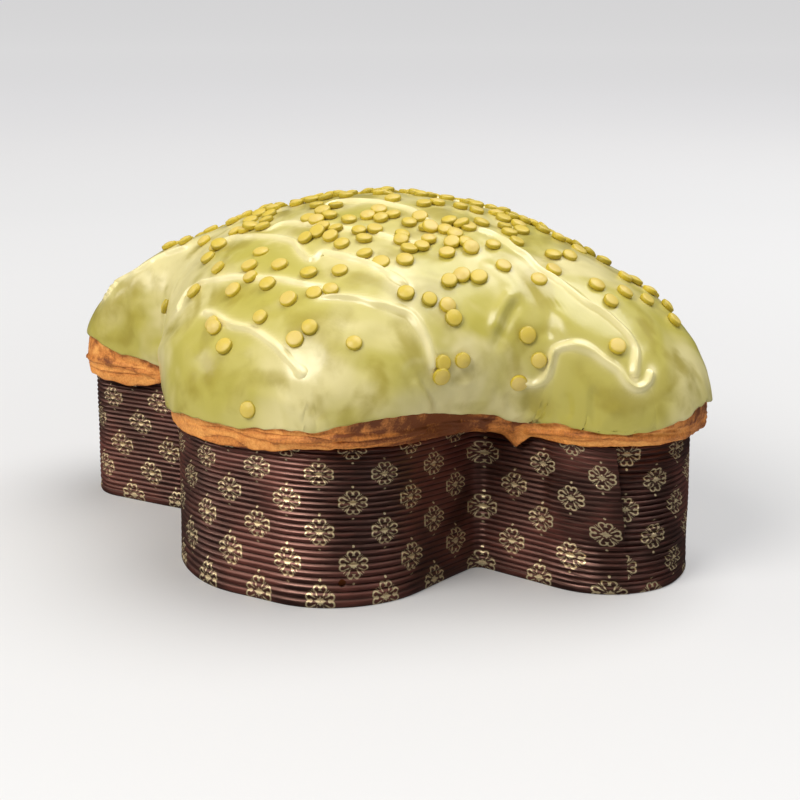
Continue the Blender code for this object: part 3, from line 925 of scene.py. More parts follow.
@dataclass(frozen=True)
class DropChocolate:
    """Pistachio chocolate: a clearer yellow-green side and a dull pale top face, whose paleness is
    painted light on the face that lies upwards.
    """

    # painted light: the paler colour given to the upward face
    top: Colour = (0.74, 0.56, 0.17)
    side: Colour = (0.66, 0.50, 0.035)
    deep: Colour = (0.42, 0.32, 0.02)
    glow: float = 0.08
    glow_radius: Triple = (1.0, 0.8, 0.2)

    def material(self) -> Material:
        """Builds the finish; the mesh stores where the upward face with painted light is and each
        drop's own tone.
        """
        g = Graph("drop_chocolate")
        where = g.place()
        face, tone = g.attribute(Drops.lit_face_name), g.attribute(Drops.tone_name)
        cloud = g.noise(where, size=2.2)
        side = g.mix(tone, self.side, self.deep)
        # painted light: the upward face takes the paler top colour
        top = g.mix(tone * 0.6 + cloud * 0.3, self.top, self.side)
        return g.dress(Base_Color=g.mix(face, side, top), Roughness=0.34 + cloud * 0.2,
                       Subsurface_Weight=self.glow, Subsurface_Radius=self.glow_radius,
                       Subsurface_Scale=MM, Normal=g.bump(cloud, strength=0.2, depth=0.15))


@dataclass(frozen=True)
class PaleFloor:
    """A plain pale studio floor with a soft glow of its own that changes with distance."""

    colour: Colour = (0.60, 0.598, 0.598)
    glow: tuple[tuple[float, Colour], ...] = (
        (0.00, (0.06, 0.06, 0.06)), (0.17, (0.15, 0.15, 0.155)), (0.30, (0.225, 0.225, 0.23)),
        (0.42, (0.31, 0.31, 0.315)), (0.52, (0.38, 0.38, 0.385)), (0.62, (0.49, 0.485, 0.49)),
        (0.72, (0.585, 0.58, 0.59)), (0.82, (0.65, 0.645, 0.65)), (0.92, (0.635, 0.63, 0.635)))

    def material(self) -> Material:
        """Builds the finish."""
        g = Graph("pale_floor")
        length = g.node("ShaderNodeVectorMath", {"operation": "LENGTH"}, {0: g.place()}, "Value")
        far = {"Fac": length / (length + 1.0)}
        glow = g.node("ShaderNodeValToRGB", {"stops": self.glow}, far, "Color")
        return g.dress(Base_Color=self.colour, Roughness=0.6, Emission_Color=glow,
                       Emission_Strength=1.0)


@dataclass
class PaperWall(Piece):
    """The corrugated wall: one long strip of printed paper whose end laps over its start.

    A place is a distance along the strip. An arc is a distance along the plan from the tail's tip.
    A span is a pair of places, counted from where the lap starts, or for lift_span from its end.
    A rise is the height over which something comes in above the lap's bottom.
    """

    bench: Bench
    form: LoafForm
    slot = "printed_paper"
    nodes = ("paper_case",)
    uv_name = "print"
    ribs: int = 26
    rows_per_rib: int = 6
    rib_depth: float = 1.15
    rib_play: float = 0.3
    rib_limits: Pair = (0.2, 1.15)
    groove_power: float = 0.8
    thickness: float = 0.5
    weld: float = 0.002
    start_arc: float = 825.6
    lap: float = 32.0
    lap_step: float = 0.95
    lap_span: Pair = (-4.0, 1.0)
    lap_bottom: float = 20.0
    lap_rise: float = 8.0
    lap_at_foot: float = 0.35
    press: float = 0.75
    press_span: Pair = (-8.0, 4.0)
    press_rise: float = 6.0
    lift: float = 1.2
    lift_span: Pair = (-16.0, 4.0)
    lift_start: float = 4.0
    lift_rise: float = 9.0
    seam_slant: float = 0.133
    seam_middle: float = 42.0
    seam_reach: float = 25.0
    seam_ragged: float = 0.3
    ragged_turns: Pair = (1.3, 0.47)
    wing_stretch: float = 0.26
    least_stretch: float = 0.25
    wing_power: float = 1.5
    crease_height: float = 3.4
    crease_depth: float = 0.6
    crease_width: float = 0.7
    plain_foot: float = 1.2
    foot_tuck: float = 0.5
    sway: float = 0.25
    vent_radius: float = 1.75
    vent_sides: int = 24
    vents: tuple[Pair, ...] = ((714.4, 10.8), (181.2, 10.8))
    punch_depth: float = 14.0
    sharp_angle: float = 70.0
    print_drift: tuple[Pair, ...] = (
        (0.0, 1.6), (100.0, 1.6), (400.0, 0.0), (900.0, 0.0), (927.6, 1.0))
    lean: float = 0.25
    lean_height: float = 37.0
    lean_arc: float = 515.0
    lean_width: float = 40.0

    def __post_init__(self) -> None:
        """Measures the way round the plan and the strip."""
        ring = self.form.plan.outline
        sides = np.linalg.norm(np.roll(ring, -1, axis=0) - ring, axis=1)
        self.along = np.concatenate([[0.0], np.cumsum(sides)])
        self.around = float(self.along[-1])
        self.length = self.around + self.lap

    def read(self, arcs: Array, values: Array) -> Array:
        """Values of the plan's columns read at arcs."""
        return np.interp(arcs % self.around, self.along, np.append(values, values[0]))

    def read_ring(self, arcs: Array, ring: Array) -> Array:
        """A ring of points or directions read at arcs."""
        return np.stack([self.read(arcs, ring[:, k]) for k in (0, 1)], axis=-1)

    def build(self) -> Object:
        """Builds the wall: a ribbed outer face, a thin rim, a plain inner face and closed ends."""
        form, plan = self.form, self.form.plan
        places = np.linspace(0.0, self.length, round(plan.columns * self.length / self.around))
        level = np.linspace(0.0, 1.0, self.ribs * self.rows_per_rib + 1)[:, None]
        height = self.read(places + self.start_arc, form.rim) * level
        arcs = places + self.start_arc + self.end_shift(places, height)
        spot = self.read_ring(arcs, plan.outline)
        out = self.read_ring(arcs, plan.out_of(plan.outline))
        rib = self.rib_numbers(level, spot)
        inward = (form.wall_lean * level + self.grooves(places, height, rib, spot)
                  + self.lap_step * (1.0 - self.lapped(places, height)) - self.lifted(places, height))
        outer = np.concatenate([spot - out * inward[..., None], height[..., None]], axis=-1)
        behind = [-1, len(level) // 2, 0]
        depth = self.rib_depth + 2.0 * self.sway + self.thickness + self.lap_step
        deep = form.wall_lean * level[behind] + depth
        flat = spot[behind] - out[behind] * deep[..., None]
        inner = np.concatenate([flat, height[behind][..., None]], axis=-1)
        item = self.bench.strip("case_wall", np.concatenate([outer, inner, outer[:1]]))
        drift = smooth_table(places, self.print_drift)
        self.write_print(item, places + self.print_lean(places, height), rib + drift)
        self.close(item)
        self.cut_vents(item)
        return item

    def end_shift(self, places: Array, height: Array) -> Array:
        """How far the strip's slanted and ragged end runs on, in millimetres."""
        quick, slow = self.ragged_turns
        ragged = self.seam_ragged * np.sin(height * quick) * np.sin(height * slow + 1.0)
        to_end = smooth_step(places, self.length - self.seam_reach, self.length)
        return to_end * (self.seam_slant * (self.seam_middle - height) + ragged)

    def rib_numbers(self, level: Array, spot: Array) -> Array:
        """The rib number at each level; the wings' lower ribs are pulled wide."""
        wing = climb(np.abs(spot[..., 1]), 0.0, self.form.plan.wing_span) ** self.wing_power
        curve = self.wing_stretch * (self.least_stretch + (1.0 - self.least_stretch) * wing)
        return self.ribs * ((1.0 - curve) * level + curve * level ** 2)

    def grooves(self, places: Array, height: Array, rib: Array,
                spot: Array) -> Array:
        """How far the paper lies inside its outer face.

        Args:
            places: distance along the strip, for each column.
            height: height of each point.
            rib: rib number of each point.
            spot: place of each point in the plan.

        Returns:
            Millimetres, as rows by columns.
        """
        points = np.concatenate([spot, height[..., None]], axis=-1)
        uneven = 1.0 + self.rib_play * Ripple(seed=3, longest=70.0, shortest=14.0).at(points)
        pressed = self.press * self.from_lap(places, self.press_span)
        pressed = pressed * climb(height, self.lap_bottom, self.press_rise)
        crest = np.abs(np.sin(math.pi * rib)) ** self.groove_power
        plain = climb(height, self.crease_height, self.plain_foot)
        depth = self.rib_depth * np.clip(uneven - pressed, *self.rib_limits) * (1.0 - crest) * plain
        crease = self.crease_depth * hump(height - self.crease_height, self.crease_width)
        swaying = self.sway * (1.0 + Ripple(seed=5, longest=80.0, shortest=26.0).at(points))
        return depth + (crease + self.foot_tuck * fading(height, 1.0)) + swaying

    def from_lap(self, places: Array, span: Pair) -> Array:
        """A smooth step along a span of the strip, counted from where the lap starts."""
        return smooth_step(places, self.around + span[0], self.around + span[1])

    def lapped(self, places: Array, height: Array) -> Array:
        """1 where the strip lies on its own start, less towards the foot."""
        upper = (1.0 - self.lap_at_foot) * climb(height, self.lap_bottom, self.lap_rise)
        return self.from_lap(places, self.lap_span) * (self.lap_at_foot + upper)

    def lifted(self, places: Array, height: Array) -> Array:
        """How far the strip's loose end stands off, in millimetres."""
        loose = smooth_step(places, self.length + self.lift_span[0], self.length + self.lift_span[1])
        return self.lift * loose * climb(height - self.lap_bottom, self.lift_start, self.lift_rise)

    def print_lean(self, places: Array, height: Array) -> Array:
        """How far the print leans along the paper near one arc, in millimetres."""
        arcs = self.read(places + self.start_arc, self.along[:-1])
        return self.lean * (height - self.lean_height) * hump(arcs - self.lean_arc, self.lean_width)

    def write_print(self, item: Object, arc: Array, rib: Array) -> None:
        """Writes the UV map that the print follows: arc in millimetres and rib number."""
        mesh = item.data
        layer = mesh.uv_layers[0]
        layer.name = self.uv_name
        flat = np.empty(2 * len(mesh.loops), dtype=np.float32)
        layer.data.foreach_get("uv", flat)
        rows, columns = rib.shape
        read_rows = np.concatenate([np.arange(rows), (rows - 1, rows // 2, 0, 0)])
        column = np.rint(flat[0::2] * (columns - 1)).astype(int)
        row = read_rows[np.rint(flat[1::2] * (len(read_rows) - 1)).astype(int)]
        uv = np.column_stack([arc[row, column], rib[row, column]])
        layer.data.foreach_set("uv", uv.astype(np.float32).ravel())

    def close(self, item: Object) -> None:
        """Welds the strip's foot and closes its two ends."""
        edit(item, whole=True)
        bpy.ops.mesh.remove_doubles(threshold=self.weld * MM)
        bpy.ops.mesh.select_all(action="DESELECT")
        bpy.ops.mesh.select_mode(type="EDGE")
        bpy.ops.mesh.select_non_manifold()
        bpy.ops.mesh.fill_holes(sides=0)
        bpy.ops.mesh.select_mode(type="VERT")
        leave_edit(outwards=True)

    def cut_vents(self, item: Object) -> None:
        """Punches the vent holes through the wall near its foot."""
        ring = self.form.plan.outline
        for arc, height in self.vents:
            spot = self.read_ring(np.array([arc]), ring)[0]
            out = self.read_ring(np.array([arc]), self.form.plan.out_of(ring))[0]
            select_only()
            bpy.ops.mesh.primitive_cylinder_add(
                vertices=self.vent_sides, radius=self.vent_radius * MM, depth=self.punch_depth * MM,
                location=self.bench.to_frame(np.array((*spot, height))),
                rotation=Vector((*out, 0.0)).to_track_quat("Z", "Y").to_euler())
            punch = bpy.context.object
            apply_modifier(item, "BOOLEAN", operation="DIFFERENCE", object=punch, solver="EXACT")
            bpy.data.objects.remove(punch)
        select_only(item)
        bpy.ops.object.shade_smooth_by_angle(angle=math.radians(self.sharp_angle))


@dataclass
class CaseFloor(Piece):
    """The case's floor: a plate of plain paper inside the wall's foot."""

    bench: Bench
    form: LoafForm
    slot = "printed_paper"
    nodes = ("paper_case",)
    inset: float = 2.2
    thickness: float = 0.6
    lift: float = 0.3

    def build(self) -> Object:
        """Builds the plate from a circle drawn on to the plan, filled and given its thickness."""
        plan = self.form.plan
        ring = plan.outline - plan.out_of(plan.outline) * self.inset
        select_only()
        bpy.ops.mesh.primitive_circle_add(vertices=plan.columns // 2, radius=1.0)
        item = fresh("case_floor")
        start = read_points(item)
        turn = np.arctan2(start[:, 1], start[:, 0]) / (2 * math.pi)
        flat = ring[np.rint(turn * plan.columns).astype(int) % plan.columns]
        level = np.full(len(flat), self.lift)
        write_points(item, self.bench.to_frame(np.column_stack([flat, level])))
        edit(item, whole=True)
        bpy.ops.mesh.edge_face_add()
        rise = {"value": (0.0, 0.0, self.thickness * MM)}
        bpy.ops.mesh.extrude_region_move(TRANSFORM_OT_translate=rise)
        leave_edit(outwards=True)
        return item


@dataclass
class Crust(Piece):
    """The bread: what stands in the case, the rim of crust that shows, and the dome."""

    bench: Bench
    form: LoafForm
    slot = "crust"
    nodes = ("bread",)
    bake_and_shade_name = "bake_and_shade"
    band_rows: int = 54
    hidden_rows: int = 12
    tucked: float = 3.0
    foot_height: float = 1.6
    neck_insets: tuple[float, float, float, float] = (3.4, 4.3, 3.6, 0.2)
    neck_levels: Triple = (-4.0, 0.2, 0.35)
    neck_lift: float = 0.8
    fold_height: float = 1.3
    fold_width: float = 1.5
    fold_step: float = 1.5
    layer_pitch: float = 3.3
    layer_step: float = 0.8
    layer_sway: float = 1.6
    layer_flatness: float = 0.3
    torn_contrast: float = 1.6
    torn_base: float = 0.35
    wrinkle_depth: float = 0.3
    wrinkle_squash: float = 2.2
    grain_depth: float = 0.09
    relief_base: float = 0.3
    top_fade: float = 0.12
    lip_fade: float = 0.06
    lip_least: float = 0.3
    hang_share: float = 0.42
    hang_power: float = 1.4
    hang_play: float = 0.35
    bake: float = 0.25
    fold_bake: float = 0.25
    wrinkle_bake: float = 0.12
    # painted shade and cracks just under the icing's edge
    edge_shade_and_crack: float = 0.35
    edge_shade_start: float = 0.78
    edge_shade_rise: float = 0.1
    edge_shade_base: float = 0.4
    # painted shade in the recess under each torn layer's ledge
    ledge_shade: float = 0.7
    # painted shade along the lip, where the crust meets the paper
    lip_shade: float = 0.45
    lip_share: float = 0.08
    # painted shade on the bread inside the paper, seen through the vents
    neck_shade: float = 1.4
    hidden_bake: float = 0.4
    # painted shade in the front notch (place 0.31) and darker crust at the tail's tip (place 0.0):
    # middle, width and strength
    dark_places: tuple[Triple, ...] = ((0.31, 0.075, 0.75), (0.0, 0.035, 0.45))
    flap: Triple = (0.2235, 0.018, 5.2)
    hang: tuple[Pair, ...] = (
        (0.00, -1.8), (0.05, -1.4), (0.10, -0.4), (0.15, 0.5), (0.20, 0.2), (0.24, 0.6),
        (0.262, -1.8), (0.30, -3.3), (0.35, -3.2), (0.39, -2.6), (0.43, -0.6), (0.47, 2.4),
        (0.52, 3.2), (0.56, 2.7), (0.60, 1.0), (0.66, 0.0), (0.78, 0.0), (0.835, 3.4),
        (0.87, 2.0), (0.90, 0.0), (1.00, 0.0))
    fold_routes: tuple[tuple[Pair, ...], ...] = (
        ((0.02, 3.4), (0.07, 4.8), (0.12, 5.8), (0.17, 5.2), (0.215, 3.2)),
        ((0.225, 8.2), (0.235, 5.6), (0.233, 3.2)),
        ((0.262, 9.0), (0.266, 6.0), (0.262, 3.2)),
        ((0.292, 9.0), (0.288, 6.2), (0.292, 3.4)),
        ((0.33, 7.6), (0.37, 5.6), (0.41, 3.6)),
        ((0.40, 7.4), (0.44, 4.8), (0.465, 3.2)),
        ((0.80, 5.0), (0.86, 8.0), (0.92, 7.4)),
    )

    def half_round(self) -> float:
        """Half the length round the widest level."""
        widest = self.form.widest
        return 0.5 * np.linalg.norm(np.roll(widest, -1, axis=0) - widest, axis=1).sum()

    def fold_field(self, heights: Array) -> Array:
        """How far the folds push the crust out.

        Args:
            heights: height above the paper's rim, as rows by columns.

        Returns:
            Millimetres, as rows by columns.
        """
        half = self.half_round()
        span = self.form.plan.half_places() * half
        field_out = np.zeros_like(heights)
        for route in self.fold_routes:
            line = smooth_route([(place * half, height) for place, height in route], self.fold_step)
            near = np.full_like(heights, np.inf)
            for x, z in line:
                near = np.minimum(near, (span - x) ** 2 + (heights - z) ** 2)
            field_out = np.maximum(field_out, self.fold_height * hump(np.sqrt(near), self.fold_width))
        return field_out

    def hanging(self) -> Array:
        """How far the lip hangs lower on each column, with one torn flap by the front notch."""
        plan = self.form.plan
        place = plan.half_places()
        uneven = Ripple(seed=14, longest=30.0, shortest=6.0).at(self.form.girdle)
        low = smooth_table(place, self.hang) + self.hang_play * uneven
        middle, half, drop = self.flap
        front = np.arange(plan.columns) > plan.columns // 2
        return low + front * drop * fading(np.abs(place - middle), half)

    def layers(self, band: Array, above_rim: Array) -> Array:
        """Torn layers: steps that run along the crust where it has cracked open."""
        flat = band * (1.0, 1.0, self.layer_flatness)
        swaying = self.layer_sway * Ripple(seed=15, longest=60.0, shortest=16.0).at(flat)
        level = (above_rim + swaying) / self.layer_pitch
        patchy = Ripple(seed=16, longest=60.0, shortest=18.0).at(flat)
        torn = np.clip(patchy * self.torn_contrast + self.torn_base, 0.0, 1.0)
        return self.layer_step * torn * (0.5 - (level - np.floor(level)))

    def build(self) -> Object:
        """Builds the loaf as one closed piece, fine where the crust shows."""
        form, plan = self.form, self.form.plan
        edge = form.icing_edge(np.full(plan.columns, self.tucked))
        share = np.linspace(0.0, 1.0, self.band_rows)[:, None]
        band = form.skin(-90.0 + (edge + 90.0) * share)
        above_rim = band[..., 2] - form.rim
        squashed = band * (1.0, 1.0, self.wrinkle_squash)
        wrinkle = Ripple(seed=11, longest=16.0, shortest=3.0).at(squashed)
        grain = Ripple(seed=12, longest=3.2, shortest=1.6, waves=40).at(band)
        folds = self.fold_field(above_rim)
        layers = self.layers(band, above_rim)
        relief = (folds + layers + self.wrinkle_depth * wrinkle + self.grain_depth * grain
                  - self.relief_base)
        fade = (climb(1.0 - share, 0.0, self.top_fade)
                * np.clip(share / self.lip_fade, self.lip_least, 1.0))
        band = band + grid_normals(band) * (relief * fade)[..., None]
        hang = self.hanging()
        band[..., 2] -= hang * fading(share, self.hang_share) ** self.hang_power
        neck = self.neck_rows(hang)
        rise = np.linspace(0.0, 1.0, self.hidden_rows + 2)[1:-1, None]
        hidden = form.skin(edge + (90.0 - edge) * rise)
        # the neck inside the paper gets painted shade as very dark crust
        bake_and_shade = np.concatenate([np.full(neck.shape[:2], self.neck_shade),
                                self.bake_and_shade(share, folds, layers, wrinkle),
                                np.full(hidden.shape[:2], self.hidden_bake)])
        return self.bench.shell("crust", np.concatenate([neck, band, hidden]),
                                (0.0, 0.0, self.foot_height), (form.crown_x, 0.0, form.crown_height),
                                {self.bake_and_shade_name: bake_and_shade})

    def bake_and_shade(self, share: Array, folds: Array, layers: Array,
              wrinkle: Array) -> Array:
        """How browned the crust that shows is, with painted shade added in places.

        Args:
            share: how far up the band each row lies, from 0 to 1.
            folds: how far the folds push each point out.
            layers: how far the torn layers push each point out.
            wrinkle: the wrinkles at each point.

        Returns:
            From 0 for light crust to 1 for dark, as rows by columns.
        """
        # painted shade in the notch, and darker crust at the tail's tip
        notch = humps(self.form.plan.half_places(), self.dark_places)
        # painted shade and ragged cracks just under the icing's edge
        upper = climb(share, self.edge_shade_start, self.edge_shade_rise)
        edge_shade_and_cracks = self.edge_shade_and_crack * upper * np.clip(wrinkle + self.edge_shade_base, 0.0, 1.0)
        # painted shade under the torn layers' ledges
        step = np.clip(-layers, 0.0, 1.0) * self.ledge_shade
        # the last term is painted shade along the lip
        return (self.bake + self.fold_bake * (folds > 0.5) + self.wrinkle_bake * wrinkle + notch
                + edge_shade_and_cracks + step + self.lip_shade * fading(share, self.lip_share))

    def neck_rows(self, hang: Array) -> Array:
        """Rows of the bread inside the paper, from the floor to the underside of the lip."""
        rim, outline = self.form.rim, self.form.plan.outline
        out = self.form.plan.out_of(outline)
        low, mid, high = self.neck_levels
        heights = (np.full(len(rim), self.foot_height), rim + low, rim + mid,
                   rim + high + self.neck_lift * np.clip(-hang, 0.0, None))
        return np.stack([np.column_stack([outline - out * inset, height])
                         for inset, height in zip(self.neck_insets, heights)])


@dataclass(frozen=True)
class Viewpoint:
    """Where the photograph was taken from: its place in the loaf's plan, its angles and its lens."""

    place: Triple = (366.1, -612.3, 255.84)
    pitch: float = 15.41
    turn: float = 30.07
    focal_pixels: float = 1572.45
    picture_width: float = 800.0
    sensor: float = 36.0
    nudge: int = 2
    nudges: int = 8

    def angles(self) -> Euler:
        """The camera's rotation."""
        return Euler((math.radians(90.0 - self.pitch), 0.0, math.radians(self.turn)))

    def seen(self, tree: BVHTree, x: float, y: float) -> tuple[Vector, Vector] | None:
        """What shows at a pixel of the photograph.

        Args:
            tree: the coat's surface.
            x: pixels from the left.
            y: pixels from the top.

        Returns:
            The place and the way out, or nothing beside the dome; a pixel just above it is lowered.
        """
        middle = 0.5 * self.picture_width
        for step in range(self.nudges):
            down = y + step * self.nudge - middle
            way = self.angles().to_matrix() @ Vector((x - middle, -down, -self.focal_pixels))
            place, normal, _, _ = tree.ray_cast(Vector(self.place), way.normalized())
            if place is not None:
                return place, normal
        return None

    def sees(self, tree: BVHTree, place: Vector, near: float = 4.0) -> bool:
        """Whether a place on the coat can be seen."""
        way = place - Vector(self.place)
        hit = tree.ray_cast(Vector(self.place), way.normalized())[0]
        return hit is not None and (hit - place).length < near


def under(tree: BVHTree, x: float, y: float) -> tuple[Vector, Vector] | None:
    """Where a plumb line at a place of the plan meets the coat, and the way out."""
    place, normal, _, _ = tree.ray_cast(Vector((x, y, ABOVE_ALL)), Vector((0.0, 0.0, -1.0)))
    return None if place is None else (place, normal)


class Seen(Enum):
    """How a route is given: in pixels of the photograph, or in millimetres of the plan."""

    PHOTO = "photo"
    PLAN = "plan"


@dataclass
class Stroke:
    """A soft line on the coat: its route, height, half width and how much its end swells."""

    route: tuple[Pair, ...]
    height: float = 1.15
    width: float = 1.3
    blob: float = 0.0
    given: Seen = Seen.PHOTO

    def line(self, tree: BVHTree, view: Viewpoint, step: float) -> Array:
        """The stroke's middle line on the coat, in millimetres and evenly spaced."""
        flat = smooth_route(self.route, step)
        if self.given is Seen.PHOTO:
            found = [view.seen(tree, x, y) for x, y in flat]
        else:
            found = [under(tree, x, y) for x, y in flat]
        line = np.array([hit[0] for hit in found if hit])
        length = np.linalg.norm(np.diff(line, axis=0), axis=1).sum()
        return resampled(line, max(4, round(length / step)))


def near_lines(points: Array, lines: Sequence[Array]) -> tuple[Array, Array]:
    """The distance from each point to the nearest of the lines' points, and that point's number."""
    joined = np.concatenate(lines)
    tree = KDTree(len(joined))
    for number, point in enumerate(joined):
        tree.insert(point, number)
    tree.balance()
    found = [tree.find(point) for point in points]
    return np.array([hit[2] for hit in found]), np.array([hit[1] for hit in found])


@dataclass
class IcingCoat(Piece):
    """The icing: an uneven coat over the dome, with folds, creases and a rounded lower edge."""

    bench: Bench
    form: LoafForm
    view: Viewpoint
    slot = "pistachio_icing"
    nodes = ("icing",)
    cream_name = "cream"
    stroke_shade_name = "stroke_shade"
    cream_humps: tuple[Triple, ...] = ((0.0, 2.1, 1.05), (0.0, 8.0, 0.12))
    stroke_shade_place: float = 9.0
    stroke_shade_width: float = 5.0
    thickness: float = 2.15
    rest: float = 0.12
    bead_rows: int = 8
    outer_rows: int = 96
    inner_rows: int = 8
    edge_power: float = 1.1
    calm_columns: int = 40
    calm_share: float = 0.25
    top_gap: float = 0.6
    inner_share: float = 0.96
    crown_rise: float = 0.02
    edge_play: float = 0.6
    slow_relief: float = 0.3
    quick_relief: float = 0.14
    relief_base: float = 0.2
    pucker: float = 0.55
    pucker_height: float = 11.0
    pucker_least: float = 0.25
    pucker_places: tuple[Triple, ...] = ((0.25, 0.11, 0.75), (0.70, 0.05, 0.5))
    route_step: float = 1.0
    fold_reach: float = 2.6
    fold_fade: float = 5.0
    fold_ends: float = 0.15
    folds: tuple[Stroke, ...] = (
        Stroke(((108, 295), (125, 283), (145, 272), (165, 262)), 1.9, 12.0),
        Stroke(((143, 268), (135, 283), (134, 312), (141, 336), (155, 354), (182, 330), (203, 314)),
               1.1, 4.5),
        Stroke(((478, 262), (498, 273), (511, 285), (515, 293), (507, 300)), 0.9, 3.2),
        Stroke(((513, 291), (505, 303), (498, 318), (493, 334)), 1.9, 2.6),
        Stroke(((520, 300), (509, 317), (502, 334), (496, 352)), -1.3, 2.4),
        Stroke(((419, 374), (426, 388), (439, 411)), -1.0, 1.3),
        Stroke(((414, 378), (421, 392), (432, 411)), 0.7, 2.2),
        Stroke(((446, 380), (455, 385), (464, 385), (472, 380)), 0.9, 1.6),
        Stroke(((488, 409), (495, 400), (498, 388)), -0.6, 2.0),
        Stroke(((508, 417), (509, 403), (508, 392)), -0.8, 2.0),
        Stroke(((528, 416), (528, 404), (526, 394)), -0.7, 2.0),
        Stroke(((569, 420), (568, 404), (565, 392)), -0.7, 2.1),
        Stroke(((596, 429), (594, 412), (593, 388)), -1.2, 2.0),
        Stroke(((601, 429), (606, 418), (622, 406)), 0.8, 3.0),
        Stroke(((255, 372), (275, 378), (300, 382), (322, 392), (338, 405)), 0.6, 4.0),
        Stroke(((240, 392), (270, 398), (297, 408), (318, 421)), 0.7, 3.5),
        Stroke(((322, 420), (312, 412), (300, 405)), -0.7, 2.0),
        Stroke(((560, 300), (548, 322), (543, 340)), -0.8, 4.5),
        Stroke(((384, 325), (372, 350), (368, 380)), -0.6, 5.0),
        Stroke(((640, 345), (660, 372), (668, 400)), 0.5, 6.0),
        Stroke(((212, 408), (248, 410), (286, 412)), -1.5, 13.0),
        Stroke(((-66, 62), (-72, 78), (-70, 90)), -1.2, 3.0, given=Seen.PLAN),
        Stroke(((84, 48), (92, 56), (94, 66)), -1.2, 3.0, given=Seen.PLAN),
        Stroke(((-20, 60), (-24, 84), (-20, 100)), 0.8, 4.0, given=Seen.PLAN),
        Stroke(((30, 56), (40, 78), (42, 98)), -0.8, 4.0, given=Seen.PLAN),
    )

    def build(self) -> Object:
        """Builds the coat as one closed shell: inner face, rounded edge and outer face."""
        form = self.form
        uneven = Ripple(seed=21, longest=26.0, shortest=5.0).at(form.girdle)
        edge = form.icing_edge(self.edge_play * uneven)
        step = form.skin(edge[None] + 1.0)[0] - form.skin(edge[None])[0]
        per_degree = np.linalg.norm(step, axis=-1)
        round_edge = 0.5 * self.thickness
        start = edge + round_edge / per_degree
        swing = np.radians(np.linspace(-90.0, 90.0, self.bead_rows))[:, None]
        bead_turns = edge + round_edge * (1.0 - np.cos(swing)) / per_degree
        bead_lift = round_edge * (1.0 + np.sin(swing)) + self.rest
        outer_turns = self.outer_turns(start)
        full = self.thickness + self.rest
        lift = np.concatenate([np.broadcast_to(bead_lift, bead_turns.shape),
                               np.full(outer_turns.shape, full)])
        skin = form.skin(np.concatenate([bead_turns, outer_turns]))
        outer = skin + grid_normals(skin) * (lift + self.relief(skin) * lift / full)[..., None]
        outer = outer + grid_normals(skin) * (self.fold_field(outer) * lift / full)[..., None]
        outer = np.clip(outer, *self.bench.limits())
        back = np.linspace(1.0, 0.0, self.inner_rows + 1)[:-1, None] * self.inner_share
        inner_skin = form.skin(start + (90.0 - start) * back)
        inner = inner_skin + grid_normals(inner_skin[::-1])[::-1] * self.rest
        crown = form.skin(np.full((1, form.plan.columns), 90.0))[0, 0]
        top = (crown[0], crown[1], float(outer[-1, :, 2].mean()) + self.crown_rise)
        rings = np.concatenate([inner, outer])
        return self.bench.shell("icing_coat", rings, crown + (0.0, 0.0, self.rest), top)

    def outer_turns(self, start: Array) -> Array:
        """Turns of the outer face's rows, which wander less and less from the edge to the crown."""
        share = (np.arange(1, self.outer_rows + 1) / (self.outer_rows + self.top_gap))[:, None]
        share = share ** self.edge_power
        shifts = range(-self.calm_columns, self.calm_columns + 1)
        calm = np.mean([np.roll(start, shift) for shift in shifts], axis=0)
        return calm + (90.0 - calm) * share + (start - calm) * fading(share, self.calm_share) ** 2

    def relief(self, skin: Array) -> Array:
        """Unevenness of the outer face, in millimetres."""
        slow = Ripple(seed=31, longest=60.0, shortest=20.0).at(skin)
        quick = Ripple(seed=32, longest=18.0, shortest=8.0).at(skin)
        smooth = self.slow_relief * slow + self.quick_relief * quick - self.relief_base
        return smooth + self.puckers(skin)

    def puckers(self, skin: Array) -> Array:
        """Upright puckers where the coat has run down into the notches, in millimetres."""
        zone = humps(self.form.plan.half_places(), self.pucker_places, self.pucker_least)
        upright = Ripple(seed=33, longest=16.0, shortest=4.5).at(self.form.girdle)
        above = skin[..., 2] - skin[:1, :, 2]
        return self.pucker * zone * upright * hump(above, self.pucker_height)

    def fold_field(self, outer: Array) -> Array:
        """How far the folds and creases move the outer face, as rows by columns."""
        rows, columns = outer.shape[:2]
        points = outer.reshape(-1, 3)
        index = np.arange(rows * columns).reshape(rows, columns)
        right = np.roll(index, -1, axis=1)
        quads = np.stack([index[:-1], right[:-1], right[1:], index[1:]], axis=-1).reshape(-1, 4)
        tree = BVHTree.FromPolygons(points.tolist(), quads.tolist())
        moved = np.zeros(len(points))
        for fold in self.folds:
            line = fold.line(tree, self.view, self.route_step)
            reach = self.fold_reach * fold.width
            low, high = line.min(axis=0) - reach, line.max(axis=0) + reach
            close = np.flatnonzero(np.all((points > low) & (points < high), axis=1))
            distance, number = near_lines(points[close], [line])
            place = number / (len(line) - 1)
            ends = np.minimum(place, 1.0 - place) * self.fold_fade + self.fold_ends
            fade = np.clip(ends, 0.0, 1.0)
            moved[close] += fold.height * hump(distance, fold.width) * fade
        return moved.reshape(rows, columns)

    def store_cream(self, item: Object, lines: Sequence[Array]) -> None:
        """Stores how creamy each point is, most along the drizzle, and the painted shade, a darker
        green, beside it.
        """
        points = read_points(item) / MM - self.bench.shift
        near = near_lines(points, lines)[0]
        write_attribute(item, self.cream_name, humps(near, self.cream_humps))
        write_attribute(item, self.stroke_shade_name, hump(near - self.stroke_shade_place, self.stroke_shade_width))


